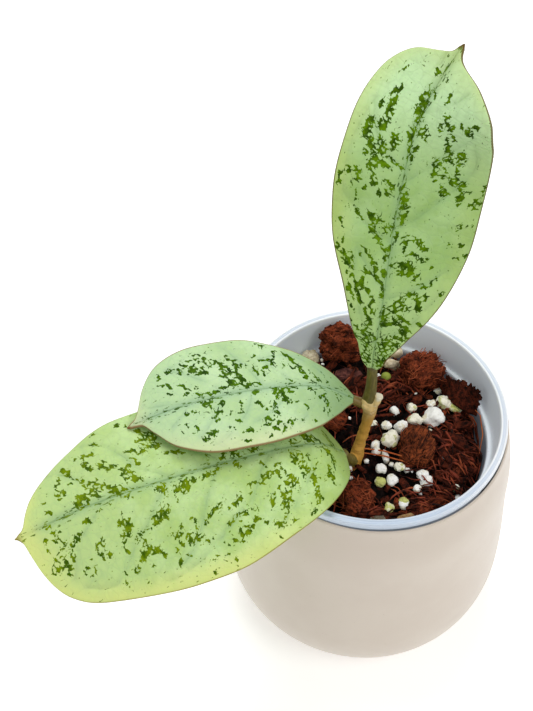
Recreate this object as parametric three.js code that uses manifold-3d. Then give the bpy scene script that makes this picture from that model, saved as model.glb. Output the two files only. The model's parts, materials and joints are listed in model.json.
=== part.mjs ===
// A potted hoya: three large patterned leaves on a short woody stem. It is rooted in a chunky
// bark mix in a thin nursery pot, which hangs by its rim in a ceramic cover pot.
// Millimetres, +Z up. The origin is the centre of the cover pot's flat base.

import * as THREE from 'three';
import { mergeVertices } from 'three/addons/utils/BufferGeometryUtils.js';
import ManifoldModule from 'manifold-3d';

const wasm = await ManifoldModule();
wasm.setup();

// Driving dimensions
const gap = 0.3;                  // between pieces that touch
const pocketRoom = 1.4 * gap;     // how much wider a piece's pocket in the mix is, all round
const rimHeight = 96;             // nursery pot's rim above the base
const rimRadius = 45;             // a 9 cm nursery pot
const nurseryShift = [-0.5, 0.8]; // the nursery pot hangs a little off centre
const potSides = 48;              // facets round each pot
const soilSides = 36;             // facets round the root ball
const bladeThickness = 1.2;
const soilWallLevel = -19.5;      // top of the mix at the wall, measured from the rim
const soilMound = 5.5;            // how much higher the mix stands in the middle

const vec = (x, y, z) => new THREE.Vector3(x, y, z);

// The same stream of numbers in [0, 1) on every run
function seeded(seed) {
  let state = seed;
  return () => {
    state = (state * 1664525 + 1013904223) % 4294967296;
    return state / 4294967296;
  };
}

// Solids for joining and cutting

function toSolid(geometry) {
  const bare = geometry.clone();
  bare.deleteAttribute('normal');
  bare.deleteAttribute('uv');
  const merged = mergeVertices(bare, 1e-4);
  return new wasm.Manifold(new wasm.Mesh({
    numProp: 3,
    vertProperties: new Float32Array(merged.attributes.position.array),
    triVerts: new Uint32Array(merged.index.array),
  }));
}

function toGeometry(solid) {
  const mesh = solid.getMesh();
  const geometry = new THREE.BufferGeometry();
  geometry.setAttribute('position', new THREE.BufferAttribute(mesh.vertProperties, 3));
  geometry.setIndex(new THREE.BufferAttribute(mesh.triVerts, 1));
  geometry.computeVertexNormals();
  return geometry;
}

// The largest connected piece, so that a cut leaves no loose scrap
function largest(solid) {
  return solid.decompose().reduce((a, b) => (a.volume() > b.volume() ? a : b));
}

// Shapes used more than once

// A round solid from its outline, given as radius and height from the axis back to the axis
function turned(outline, facets = potSides) {
  const points = outline.map(([radius, height]) => new THREE.Vector2(radius, height));
  return new THREE.LatheGeometry(points, facets).rotateX(Math.PI / 2);
}

// Points of a cubic curve between two ends, without its first point
function bend(from, pullA, pullB, to, steps) {
  const ends = [from, pullA, pullB, to].map((p) => new THREE.Vector2(...p));
  const curve = new THREE.CubicBezierCurve(...ends);
  return curve.getPoints(steps).slice(1).map((p) => [p.x, p.y]);
}

// A closed rod that follows a curve, its radius given along the way
function rod(curve, radiusAt, around, steps) {
  const geometry = new THREE.CylinderGeometry(1, 1, 1, around, steps);
  const frames = curve.computeFrenetFrames(steps);
  const place = geometry.attributes.position;
  for (let i = 0; i < place.count; i++) {
    const along = place.getY(i) + 0.5;
    const step = Math.round(along * steps);
    const radius = radiusAt(along);
    const point = curve.getPointAt(along)
      .addScaledVector(frames.normals[step], place.getX(i) * radius)
      .addScaledVector(frames.binormals[step], -place.getZ(i) * radius);
    place.setXYZ(i, point.x, point.y, point.z);
  }
  return geometry;
}

const through = (...points) => (
  new THREE.CatmullRomCurve3(points.map((p) => vec(...p)), false, 'catmullrom', 0.5)
);

// A value read off a list of stops, each [position, value]
function readOff(stops, at) {
  const next = stops.findIndex(([position]) => position >= at);
  if (next <= 0) return stops[next === 0 ? 0 : stops.length - 1][1];
  const [a, b] = [stops[next - 1], stops[next]];
  return THREE.MathUtils.mapLinear(at, a[0], b[0], a[1], b[1]);
}

// A lump: a ball or block whose corners are pushed in by seeded amounts
function lump(geometry, size, roughness, random) {
  const bare = geometry.clone();
  bare.deleteAttribute('normal');
  bare.deleteAttribute('uv');
  const merged = mergeVertices(bare, 1e-4);
  const place = merged.attributes.position;
  for (let i = 0; i < place.count; i++) {
    const push = 1 - roughness * random();
    const [x, y, z] = [place.getX(i), place.getY(i), place.getZ(i)];
    place.setXYZ(i, x * size[0] * push, y * size[1] * push, z * size[2] * push);
  }
  return merged;
}

// Cover pot: a barrel with a wide round into its base, a soft shoulder and a rounded lip

const coverWall = 4.5;
const coverBase = 35.5;
const coverBelly = [51.4, 27];
const coverShoulder = [48.4, 72];
const coverLip = [44.9, rimHeight - 2.8];
const coverMouth = 44.3;
const coverFloor = 6.5;

function coverPot() {
  const [bellyRadius, bellyHeight] = coverBelly;
  const [lipRadius, lipHeight] = coverLip;
  const innerBelly = [bellyRadius - coverWall, bellyHeight + 2];
  return turned([
    [0, 0],
    [coverBase, 0],
    ...bend([coverBase, 0], [48.5, 0.8], [bellyRadius, 16], coverBelly, 8),
    ...bend(coverBelly, [51.2, 44], [48.8, 58], coverShoulder, 4),
    ...bend(coverShoulder, [47.8, 82.5], [45.7, 88], [lipRadius + 0.3, lipHeight - 0.6], 4),
    coverLip,
    [coverMouth + 0.1, lipHeight],
    [coverMouth, lipHeight - 0.8],
    [coverMouth, rimHeight - 22],
    ...bend([coverMouth, rimHeight - 22], [coverMouth + 0.8, 58], [innerBelly[0], 42], innerBelly, 2),
    ...bend(innerBelly, [47, 12], [42, coverFloor], [32, coverFloor], 4),
    [0, coverFloor],
  ]);
}

// Nursery pot: heights below are measured from its rim

const collarTop = 42.5;           // inner radius at the rim
const collarDepth = 14;           // the stacking ledge lies this far down
const ledgeOuter = 41.5;
const ledgeInner = 40;
const nurseryWall = 0.9;
const nurseryDepth = 80;
const nurseryFloorRadius = 30.5;
const skirtDepth = 2.5;
const drainHoles = 8;
const drainRadius = 3;
const drainRing = 22;             // the holes' centres lie on a circle of this radius

const nurseryInside = [
  [-nurseryDepth + nurseryWall, nurseryFloorRadius - nurseryWall],
  [-collarDepth, ledgeInner],
];

function nurseryPot() {
  const shell = toSolid(turned([
    [0, -nurseryDepth],
    [nurseryFloorRadius, -nurseryDepth],
    [ledgeInner + nurseryWall, -collarDepth - 0.8],
    [ledgeOuter + nurseryWall, -collarDepth - 0.4],
    [collarTop + nurseryWall - 0.3, -1.1],
    [rimRadius - 0.8, -1.1],
    [rimRadius - 0.7, -skirtDepth],
    [rimRadius, -skirtDepth],
    [rimRadius, -0.5],
    [rimRadius - 0.2, 0],
    [collarTop + 0.4, 0],
    [collarTop, -0.5],
    [ledgeOuter, -collarDepth + 0.3],
    [ledgeInner, -collarDepth],
    [nurseryFloorRadius - nurseryWall, -nurseryDepth + nurseryWall],
    [0, -nurseryDepth + nurseryWall],
  ]));
  let pot = shell;
  for (let i = 0; i < drainHoles; i++) {
    const angle = (i + 0.5) * 2 * Math.PI / drainHoles;
    const hole = new THREE.CylinderGeometry(drainRadius, drainRadius, 4, 12).rotateX(Math.PI / 2)
      .translate(drainRing * Math.cos(angle), drainRing * Math.sin(angle), -nurseryDepth);
    pot = pot.subtract(toSolid(hole));
  }
  return toGeometry(pot);
}

// The mix: a root ball with a bumpy top, mounded to the middle and highest at the back left

const soilRoom = 0.4;             // between the root ball's side and the nursery pot
const fibreCount = 26;
const fibreSpread = 34;           // fibres are centred within this radius
const fibreReach = 37.5;          // and no part of one lies further out than this

function soilTop(x, y) {
  const r = Math.hypot(x, y) / ledgeInner;
  const mound = soilMound * (1 - r ** 2.5);
  const backLeft = 5 * Math.exp(-((x + 12) ** 2 + (y - 28) ** 2) / 260);
  const bumps = Math.sin(x * 0.62 + 1.3) * Math.cos(y * 0.55 - 0.4) + 0.7 * Math.sin(x * 1.07 - y * 0.83);
  return soilWallLevel + mound + backLeft + 0.6 * bumps;
}

function soilBall() {
  const rings = [0.14, 0.28, 0.42, 0.56, 0.69, 0.81, 0.91, 1];
  const wallRadius = readOff(nurseryInside, soilWallLevel) - soilRoom;
  const bottom = -nurseryDepth + nurseryWall + gap;
  const outline = [
    [0, 0],
    ...rings.map((r) => [r * wallRadius, 0]),
    [readOff(nurseryInside, -50) - soilRoom, -50],
    [readOff(nurseryInside, bottom) - soilRoom, bottom],
    [0, bottom],
  ].reverse();
  const ball = turned(outline, soilSides);
  const place = ball.attributes.position;
  for (let i = 0; i < place.count; i++) {
    if (place.getZ(i) > -1) place.setZ(i, soilTop(place.getX(i), place.getY(i)));
  }
  return toSolid(ball);
}

// Coir fibres that arch over the mix, both ends sunk in it
function fibres(random) {
  const solids = [];
  for (let i = 0; i < fibreCount; i++) {
    const reach = fibreSpread * Math.sqrt(random());
    const turn = random() * 2 * Math.PI;
    const heading = random() * 2 * Math.PI;
    const length = 6 + 9 * random();
    const centre = [reach * Math.cos(turn), reach * Math.sin(turn)];
    const points = [-0.5, -0.25, 0, 0.25, 0.5].map((f, k) => {
      const sway = (k % 2) * (random() - 0.5) * 3;
      const x = centre[0] + f * length * Math.cos(heading) - sway * Math.sin(heading);
      const y = centre[1] + f * length * Math.sin(heading) + sway * Math.cos(heading);
      const lift = [-2, 0.2, 0.6 + 1.4 * random(), 0.2, -2][k];
      const limit = Math.min(1, fibreReach / Math.hypot(x, y));
      return [x * limit, y * limit, soilTop(x * limit, y * limit) + lift];
    });
    const thickness = 0.35 + 0.35 * random();
    solids.push(toSolid(rod(through(...points), () => thickness, 3, 5)));
  }
  return solids;
}

// Pieces lying in the mix: [name, x, y, size across, deep, high, turn, tilt, lift, colour]

const huskRed = '#7a3524';
const huskDark = '#4a201a';
const blocks = [
  ['husk_block_back', -9.8, 34.4, 11, 8.4, 13.4, 16, 0, 7.4, huskRed],
  ['husk_round_back', 20, 26, 14, 11, 10.5, 20, 10, 5, huskRed],
  ['husk_flake_right', 31.6, 17.6, 12.5, 2.8, 9.5, -36, -14, 5.4, huskDark],
  ['bark_oval', 15.3, -6.6, 11, 13.6, 7.5, -14, 8, 2, '#9c5a3c'],
  ['husk_front', -5.6, -25.5, 10, 11, 7, 25, 5, 1.2, huskRed],
  ['bark_slab_back', -6.7, 22.6, 11, 5, 3.2, 6, 12, 0.9, '#4b2b33'],
  ['bark_slab_left', -13, 5.2, 9.5, 8, 3.4, -30, 8, 0.8, huskDark],
  ['husk_strip_right', 31.5, 4.6, 10, 2.6, 2.6, 6, -10, 1, huskDark],
  ['husk_strip_low', 29, -3.2, 13, 3, 2.6, -42, -6, 0.9, huskDark],
  ['husk_strip_wall', 29.5, -12.5, 11, 2.8, 2.6, 62, 4, 0.9, huskRed],
  ['husk_strip_front', 19, -27, 12, 3.2, 2.8, 32, 5, 0.9, huskRed],
  ['husk_chip_left', -22, -14, 9, 7, 4.5, 40, 6, 0.8, huskDark],
  ['husk_chip_hidden', -26, 9, 10, 8, 5, -15, 8, 0.8, huskRed],
  ['bark_chip_back', 2.6, 29.4, 6, 5, 4, 35, 10, 0.8, huskDark],
  ['pebble_front', 0.6, -33.2, 5.2, 3.4, 3, 18, 0, 0.8, '#7c7468'],
  ['chip_tan_front', 9.8, -33, 6.2, 2.6, 2.2, 22, 4, 0.7, '#b08d62'],
  ['pebble_ivory', 11.6, 31.6, 4.6, 4, 3, 10, 0, 0.8, '#cfc2a4'],
];

// Perlite and pumice grains: [x, y, radius, colour]
const white = '#eeeade';
const cream = '#dcd6b8';
const green = '#b9bd7c';
const grains = [
  [22.8, 7, 3.6, white],
  [22.2, 13.2, 1.7, white],
  [27, 14.8, 2.6, cream],
  [15.2, 11, 1.7, cream],
  [15.6, 5.6, 2.3, cream],
  [11, 2.2, 2.1, white],
  [6.4, -3.2, 2.9, cream],
  [5.8, 2.8, 1.8, white],
  [1.6, -8.2, 1.4, white],
  [1.4, 3.4, 1.3, white],
  [31, 12.4, 2, green],
  [16.4, -17.2, 1.9, white],
  [14.4, -21.6, 1.4, white],
  [3.2, -14.6, 1.7, white],
  [2, -19.2, 1.8, green],
  [6.4, -18.8, 1.7, white],
  [9.2, -14, 1.8, cream],
  [9.4, -26.6, 1.8, green],
  [4.6, -29, 1.9, green],
  [27.5, -20.5, 1.5, cream],
];

// grow widens the block on every side, for its pocket
function blockPiece([, x, y, across, deep, high, turn, tilt, lift], grow, random) {
  const size = [across + 2 * grow, deep + 2 * grow, high + 2 * grow];
  const box = new THREE.BoxGeometry(1, 1, 1, 3, 3, 2);
  const place = box.attributes.position;
  for (let i = 0; i < place.count; i++) {
    const corner = Math.hypot(place.getX(i), place.getY(i), place.getZ(i));
    const round = Math.min(1, 0.66 / corner);
    place.setXYZ(i, place.getX(i) * round, place.getY(i) * round, place.getZ(i) * round);
  }
  return lump(box, size, 0.16, random)
    .rotateY(THREE.MathUtils.degToRad(tilt))
    .rotateZ(THREE.MathUtils.degToRad(turn))
    .translate(x, y, soilTop(x, y) + lift);
}

function grainPiece([x, y, radius], random) {
  const size = [radius, radius, 0.85 * radius];
  return lump(new THREE.IcosahedronGeometry(1, 1), size, 0.18, random)
    .translate(x, y, soilTop(x, y) + 0.45 * radius);
}

// A plain twenty-sided pocket that clears the grain all round
function grainPocket([x, y, radius]) {
  const r = 1.25 * (radius + gap);
  return new THREE.IcosahedronGeometry(1, 0).scale(r, r, 0.9 * r)
    .translate(x, y, soilTop(x, y) + 0.45 * radius);
}

// Stem, with the cut stub of the old shoot and a callus at its top node

const stemPath = through(
  [-7.6, -15.4, -31], [-6.9, -14, -22], [-5.8, -11.8, -15], [-4.3, -7.7, -8.5],
  [-3.2, -6.1, -4], [-2.2, -4.9, 1], [-1.7, -4.4, 5], [-2.3, -3.6, 10.3],
);
const stubPath = through([-1.7, -5, 6.5], [-0.2, -4.7, 9.6], [0.8, -4.1, 12.8]);
const stemRadius = [
  [0, 1.9], [0.36, 2], [0.47, 2.3], [0.56, 1.85], [0.74, 1.75], [0.86, 2.1], [0.93, 2.5], [1, 2.1],
];
const stubRadius = 1.35;

function stem(grow) {
  const shaft = toSolid(rod(stemPath, (t) => readOff(stemRadius, t) + grow, 10, 20));
  const stub = toSolid(rod(stubPath, () => stubRadius + grow, 10, 3));
  const callus = toSolid(new THREE.IcosahedronGeometry(1.4 + grow, 1).translate(-3.4, -4.9, 8.6));
  const leafScar = toSolid(new THREE.IcosahedronGeometry(2 + grow, 1).translate(-6.9, -12, -11.8));
  return shaft.add(stub).add(callus).add(leafScar);
}

// Petioles: [path, radius stops]
const petioles = {
  petiole_upright: [
    through([-2.3, -3.5, 10.2], [-1.9, -2.7, 17], [-2.2, -2.4, 24.6]),
    [[0, 2.3], [0.3, 1.85], [0.7, 1.65], [1, 1.7]],
  ],
  petiole_middle: [through([-3.6, -3.5, 7.8], [-5.6, -3.2, 8.3], [-7.1, -2.95, 9]), [[0, 1.8], [1, 1.55]]],
  petiole_lower: [through([-7.2, -12.4, -12], [-9, -14, -8.6], [-10.2, -15, -4.6]), [[0, 2.1], [1, 1.7]]],
};

// Leaf blades. The midrib is a curve through points in space; left and right are the blade's
// half widths, as [distance along the midrib, half width], left and right as seen from the base.
// roll turns the blade about its midrib and fold lifts each half, in degrees, from base to tip.

const leaves = {
  leaf_upright: {
    midrib: through([-2.2, -2.4, 25], [-0.9, 1.1, 49], [3.1, 20, 71], [9, 36.5, 92], [20.9, 47.6, 111]),
    left: [[0, 1.7], [3, 4], [9, 6.6], [17, 8.4], [30, 12.4], [45, 18], [60, 20.4], [74, 20],
      [87, 19.4], [93, 17.4], [98, 12.8], [101, 6], [103, 2], [106.5, 0.5]],
    right: [[0, 1.7], [3, 3.6], [9, 5.6], [17, 9.8], [30, 18.2], [45, 23.4], [60, 24.6], [74, 24.9],
      [87, 24.2], [93, 21.5], [98, 14], [101, 5], [103, 2], [106.5, 0.5]],
    roll: [0, 0],
    foldLeft: [8, 8],
    foldRight: [8, 8],
    wave: 0.35,
    camber: 0.08,
  },
  leaf_middle: {
    midrib: through(
      [-7.4, -2.9, 9.2], [-19.1, -3.7, 17], [-39.5, -9, 22], [-61.2, -15, 22], [-79.3, -19.4, 16],
    ),
    left: [[0, 1.6], [2.5, 4.2], [6.5, 8.8], [12.5, 12.8], [22, 16.3], [33, 18.2], [44, 18.7], [55, 17.2],
      [64, 12.6], [69.5, 6], [72.5, 2], [75, 1], [78.3, 0.5]],
    right: [[0, 1.6], [2.5, 2.8], [6.5, 4.6], [12.5, 8.2], [22, 14], [33, 18.2], [44, 19.8], [55, 19.4],
      [64, 16.6], [69.5, 11], [73, 4.5], [75, 1.8], [78.3, 0.5]],
    roll: [-10, -12],
    foldLeft: [2, 2],
    foldRight: [2, 2],
    wave: 0.3,
    camber: 0.08,
  },
  leaf_lower: {
    midrib: through(
      [-10.3, -15, -4], [-21.3, -20.6, 9], [-45.6, -28.6, 12], [-67.7, -36.4, 12], [-89.3, -44.6, 11],
      [-111, -54.6, 8],
    ),
    left: [[0, 1.8], [3, 8], [9, 13.8], [18, 21], [32, 27.2], [48, 32], [64, 33.2], [80, 31.8],
      [93, 29.6], [101, 27], [106, 23.4], [109, 19.2], [111, 13.5], [112, 7.5], [112.8, 2.4], [114.3, 0.5]],
    right: [[0, 1.8], [3, 10], [9, 17.6], [18, 22], [32, 24.8], [48, 26.2], [64, 26.2], [80, 24],
      [93, 18], [101, 13.4], [106, 9.6], [109, 6], [110.8, 3], [112, 1.6], [114.3, 0.5]],
    roll: [-6, -13, -19, -21],
    foldLeft: [-2, -6, -9],
    foldRight: [-4, -9, -9],
    wave: 0.5,
    camber: 0.05,
  },
};

const bladeRows = 24;
const bladeColumns = [-1, -0.8, -0.5, -0.16, 0, 0.16, 0.5, 0.8, 1];

const spread = (values, at) => readOff(values.map((v, i) => [i / (values.length - 1), v]), at);

// Half width along the blade, read off a smooth outline through its points
function smoothOutline(stops) {
  const corners = stops.map(([at, width]) => new THREE.Vector2(at, width));
  const points = new THREE.SplineCurve(corners).getPoints(160);
  return (at) => readOff(points.map((p) => [p.x, p.y]), at);
}

// A closed blade: its two faces have the same grid, split the same way
function blade(leaf) {
  const length = leaf.midrib.getLength();
  const halves = { left: smoothOutline(leaf.left), right: smoothOutline(leaf.right) };
  const widest = Math.max(...[...leaf.left, ...leaf.right].map(([, width]) => width));
  const vertices = [];
  const columns = bladeColumns.length;
  const faces = [];
  for (let row = 0; row <= bladeRows; row++) {
    // rows lie closer together near the base and the drip tip
    const even = row / bladeRows;
    const t = even - 0.11 * Math.sin(2 * Math.PI * even);
    const at = t * length;
    const point = leaf.midrib.getPointAt(t);
    const ahead = leaf.midrib.getTangentAt(t);
    const level = vec(-ahead.y, ahead.x, 0).normalize();
    const out = vec(0, 0, 0).crossVectors(ahead, level);
    const roll = THREE.MathUtils.degToRad(spread(leaf.roll, t));
    const sideways = level.clone().multiplyScalar(Math.cos(roll)).addScaledVector(out, Math.sin(roll));
    const normal = out.clone().multiplyScalar(Math.cos(roll)).addScaledVector(level, -Math.sin(roll));
    for (const column of bladeColumns) {
      const onLeft = column > 0;
      const half = Math.max(0.5, (onLeft ? halves.left : halves.right)(at));
      const across = column * half;
      const fold = THREE.MathUtils.degToRad(spread(onLeft ? leaf.foldLeft : leaf.foldRight, t));
      const reach = Math.abs(across);
      const wave = leaf.wave * column ** 4 * Math.sin(t * 26 + (onLeft ? 0 : 2)) * Math.sin(Math.PI * t);
      const groove = column === 0 ? -0.35 * Math.sin(Math.PI * t) ** 0.5 : 0;
      const height = reach * Math.sin(fold) - leaf.camber * (across / widest) ** 2 * widest + wave + groove;
      const middle = point.clone().addScaledVector(sideways, across * Math.cos(fold))
        .addScaledVector(normal, height);
      vertices.push(middle.clone().addScaledVector(normal, bladeThickness / 2));
      vertices.push(middle.clone().addScaledVector(normal, -bladeThickness / 2));
    }
  }
  const top = (row, column) => 2 * (row * columns + column);
  const under = (row, column) => top(row, column) + 1;
  const quad = (a, b, c, d) => faces.push(a, b, c, a, c, d);
  for (let row = 0; row < bladeRows; row++) {
    for (let c = 0; c < columns - 1; c++) {
      const [a, b, d, e] = [top(row, c), top(row + 1, c), top(row + 1, c + 1), top(row, c + 1)];
      faces.push(a, b, d, a, d, e);
      const [f, g, h, k] = [under(row, c), under(row + 1, c), under(row + 1, c + 1), under(row, c + 1)];
      faces.push(f, h, g, f, k, h);
    }
    const last = columns - 1;
    quad(under(row, 0), under(row + 1, 0), top(row + 1, 0), top(row, 0));
    quad(top(row, last), top(row + 1, last), under(row + 1, last), under(row, last));
  }
  for (let c = 0; c < columns - 1; c++) {
    quad(under(0, c), top(0, c), top(0, c + 1), under(0, c + 1));
    quad(top(bladeRows, c), under(bladeRows, c), under(bladeRows, c + 1), top(bladeRows, c + 1));
  }
  const geometry = new THREE.BufferGeometry().setFromPoints(vertices);
  geometry.setIndex(faces);
  geometry.computeVertexNormals();
  return geometry;
}

// Assembly

const finish = (color, roughness) => new THREE.MeshStandardMaterial({ color, roughness, metalness: 0 });

function piece(name, geometry, material) {
  const mesh = new THREE.Mesh(geometry, material);
  mesh.name = name;
  return mesh;
}

const group = new THREE.Group();
group.add(piece('cover_pot', coverPot(), finish('#d9cdbd', 0.35)));

const nursery = new THREE.Group();
nursery.position.set(...nurseryShift, rimHeight);
group.add(nursery);
nursery.add(piece('nursery_pot', nurseryPot(), finish('#cfd3de', 0.45)));

// Each piece that lies in the mix leaves its own pocket there, a gap wider than itself
let soil = soilBall();
for (const fibre of fibres(seeded(7))) soil = soil.add(fibre);
const pieceSeed = 100;
blocks.forEach((block, i) => {
  nursery.add(piece(block[0], blockPiece(block, 0, seeded(pieceSeed + i)), finish(block[9], 0.9)));
  soil = soil.subtract(toSolid(blockPiece(block, pocketRoom, seeded(pieceSeed + i))));
});
grains.forEach((grain, i) => {
  const name = `perlite_${String(i + 1).padStart(2, '0')}`;
  const seed = 2 * pieceSeed + i;
  nursery.add(piece(name, grainPiece(grain, seeded(seed)), finish(grain[3], 0.9)));
  soil = soil.subtract(toSolid(grainPocket(grain)));
});
// Room under the stem's lower end, so that it stands clear of the mix
const stemFoot = new THREE.CylinderGeometry(2.6, 2.6, 2, 12).rotateX(Math.PI / 2)
  .translate(-7.6, -15.4, -30.9);
const stemHole = stem(pocketRoom);
soil = soil.subtract(stemHole).subtract(toSolid(stemFoot));
nursery.add(piece('soil_mix', toGeometry(largest(soil)), finish('#3a211b', 0.95)));

nursery.add(piece('stem', toGeometry(stem(0)), finish('#b58f5a', 0.7)));
for (const [name, [path, stops]] of Object.entries(petioles)) {
  const petiole = toSolid(rod(path, (t) => readOff(stops, t), 10, 6)).subtract(stemHole);
  nursery.add(piece(name, toGeometry(largest(petiole)), finish('#8b8a4e', 0.6)));
}
const leafColours = { leaf_upright: '#a9c98c', leaf_middle: '#a8d3a6', leaf_lower: '#b4d58c' };
for (const [name, leaf] of Object.entries(leaves)) {
  nursery.add(piece(name, blade(leaf), finish(leafColours[name], 0.4)));
}

group.updateMatrixWorld(true);
export default group;
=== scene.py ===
import json
import math
import random

import bmesh
import bpy
import numpy as np
from mathutils import Matrix, Vector, noise


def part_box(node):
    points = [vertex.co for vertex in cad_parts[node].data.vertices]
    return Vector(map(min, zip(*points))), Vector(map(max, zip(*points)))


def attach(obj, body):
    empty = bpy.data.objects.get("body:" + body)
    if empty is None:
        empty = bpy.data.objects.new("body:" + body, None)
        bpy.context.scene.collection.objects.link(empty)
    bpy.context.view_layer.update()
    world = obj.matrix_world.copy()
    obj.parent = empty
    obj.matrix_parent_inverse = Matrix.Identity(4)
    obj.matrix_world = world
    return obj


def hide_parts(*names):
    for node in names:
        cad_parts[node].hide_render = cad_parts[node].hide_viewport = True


# A potted hoya with three splashed leaves. Shapes are worked out in millimetres and placed in metres.
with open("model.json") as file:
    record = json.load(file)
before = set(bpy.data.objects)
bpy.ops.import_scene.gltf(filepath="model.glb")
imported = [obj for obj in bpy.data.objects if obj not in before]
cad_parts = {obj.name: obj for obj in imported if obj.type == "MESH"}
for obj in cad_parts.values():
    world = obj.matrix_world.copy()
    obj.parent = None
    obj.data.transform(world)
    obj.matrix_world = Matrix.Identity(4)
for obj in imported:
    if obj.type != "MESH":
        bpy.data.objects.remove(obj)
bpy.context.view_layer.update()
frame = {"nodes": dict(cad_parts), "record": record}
mm = 0.001

# The pots' own axes: heights in the nursery pot are measured from its rim
potLow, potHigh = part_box("nursery_pot")
nurseryPlace = Matrix.Translation(
    ((potLow.x + potHigh.x) / 2, (potLow.y + potHigh.y) / 2, potHigh.z)
) @ Matrix.Scale(mm, 4)
nurseryCentre = nurseryPlace.translation / mm
worldToNursery = nurseryPlace.inverted()
coverPlace = Matrix.Scale(mm, 4)
inFrame = Matrix.Identity(4)


# Shader maths as plain sums


class Wire:
    # A shader socket that can be added, subtracted and multiplied
    def __init__(self, finish, socket):
        self.finish = finish
        self.socket = socket

    def sum(self, operation, first, second):
        return self.finish.add("Math", {"operation": operation}, {0: first, 1: second})

    def __add__(self, other):
        return self.sum("ADD", self, other)

    def __radd__(self, other):
        return self.sum("ADD", other, self)

    def __sub__(self, other):
        return self.sum("SUBTRACT", self, other)

    def __rsub__(self, other):
        return self.sum("SUBTRACT", other, self)

    def __mul__(self, other):
        return self.sum("MULTIPLY", self, other)

    def __rmul__(self, other):
        return self.sum("MULTIPLY", other, self)

    def most(self, other):
        return self.sum("MAXIMUM", self, other)


class Finish:
    # A material and its node tree. A scale counts features to the millimetre
    def __init__(self, name):
        self.material = bpy.data.materials.new(name)
        self.material.use_nodes = True
        self.tree = self.material.node_tree
        self.tree.nodes.clear()

    def add(self, kind, settings, values, result=0):
        made = self.tree.nodes.new("ShaderNode" + kind)
        for name, value in settings.items():
            setattr(made, name, value)
        for name, value in values.items():
            if isinstance(value, Wire):
                self.tree.links.new(value.socket, made.inputs[name])
            else:
                made.inputs[name].default_value = value
        return Wire(self, made.outputs[result]) if made.outputs else made

    # Object coordinates in millimetres from a centre, turned, then scaled along each axis
    def place(self, centre=(0, 0, 0), turn=(0, 0, 0), scale=(1, 1, 1)):
        spot = self.add("TexCoord", {}, {}, "Object")
        moved = self.add("VectorMath", {"operation": "SUBTRACT"}, {0: spot, 1: Vector(centre) * mm})
        values = {"Vector": moved, "Rotation": turn, "Scale": [mm / s for s in scale]}
        return self.add("Mapping", {"vector_type": "TEXTURE"}, values)

    def axis(self, at, name):
        return self.add("SeparateXYZ", {}, {0: at}, name)

    def noise(self, at, scale, detail, roughness=0.55, distortion=0.0):
        values = {"Vector": at, "Scale": scale, "Detail": detail, "Roughness": roughness,
                  "Distortion": distortion}
        return self.add("TexNoise", {}, values, "Fac")

    def cells(self, at, scale, feature="F1"):
        return self.add("TexVoronoi", {"feature": feature}, {"Vector": at, "Scale": scale}, "Distance")

    def blend(self, factor, first, second):
        return self.add("Mix", {"data_type": "RGBA"}, {0: factor, 6: first, 7: second}, 2)

    # 0 below low, 1 above high
    def rise(self, value, low, high):
        values = {0: value, 1: low, 2: high, 3: 0.0, 4: 1.0}
        return self.add("MapRange", {"interpolation_type": "SMOOTHSTEP"}, values)

    # 1 below low, 0 above high
    def fall(self, value, low, high):
        return 1 - self.rise(value, low, high)

    # Patches where a noise rises from low to high
    def patches(self, at, scale, detail, low, high, roughness=0.55):
        return self.rise(self.noise(at, scale, detail, roughness), low, high)

    def attribute(self, name):
        return self.add("Attribute", {"attribute_name": name}, {}, "Fac")

    def bump(self, height, distance, strength):
        values = {"Height": height, "Distance": distance * mm, "Strength": strength}
        return self.add("Bump", {}, values)

    # The finished material; other settings are named as their sockets, with _ for a space
    def shade(self, colour, roughness, normal=None, **fixed):
        values = {"Base Color": colour, "Roughness": roughness}
        if normal is not None:
            values["Normal"] = normal
        for name, value in fixed.items():
            values[name.replace("_", " ")] = value
        surface = self.add("BsdfPrincipled", {}, values)
        self.add("OutputMaterial", {}, {"Surface": surface})
        return self.material


# A colour as it looks on the screen, 0 to 255, in the renderer's own linear values
def paint(red, green, blue):
    linear = [((c / 255 + 0.055) / 1.055) ** 2.4 if c > 10 else c / 255 / 12.92 for c in (red, green, blue)]
    return (*linear, 1.0)


# Helpers for shapes

# How near points are to be welded: in mm for an outline, in metres for a node's solid
outlineWeld = 0.004
solidWeld = 1e-6


def link(thing):
    bpy.context.scene.collection.objects.link(thing)


# A node's name as a piece's name: husk_front as huskFront
def pieceName(node):
    first, *rest = node.split("_")
    return first + "".join(word.title() for word in rest)


# Turns a bmesh into a mesh and frees it
def meshFrom(name, bm):
    mesh = bpy.data.meshes.new(name)
    bm.to_mesh(mesh)
    bm.free()
    return mesh


def asPiece(name, bm, place, material, nodes=()):
    bmesh.ops.transform(bm, matrix=place, verts=bm.verts)
    return dress(bpy.data.objects.new(name, meshFrom(name, bm)), [material], nodes)


def dress(piece, materials, nodes=()):
    link(piece)
    for material in materials:
        piece.data.materials.append(material)
    piece.data.shade_smooth()
    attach(piece, "root")
    if nodes:
        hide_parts(*nodes)
    return piece


# Swaps a piece's mesh for what its modifiers make of it
def settle(piece):
    graph = bpy.context.evaluated_depsgraph_get()
    shaped = piece.evaluated_get(graph)
    made = bpy.data.meshes.new_from_object(shaped, preserve_all_data_layers=True, depsgraph=graph)
    piece.modifiers.clear()
    old = piece.data
    piece.data = made
    bpy.data.meshes.remove(old)


# Eases a mesh's points toward their neighbours
def smooth(bm, factor):
    bmesh.ops.smooth_vert(bm, verts=bm.verts, factor=factor, use_axis_x=True, use_axis_y=True,
                          use_axis_z=True)


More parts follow.
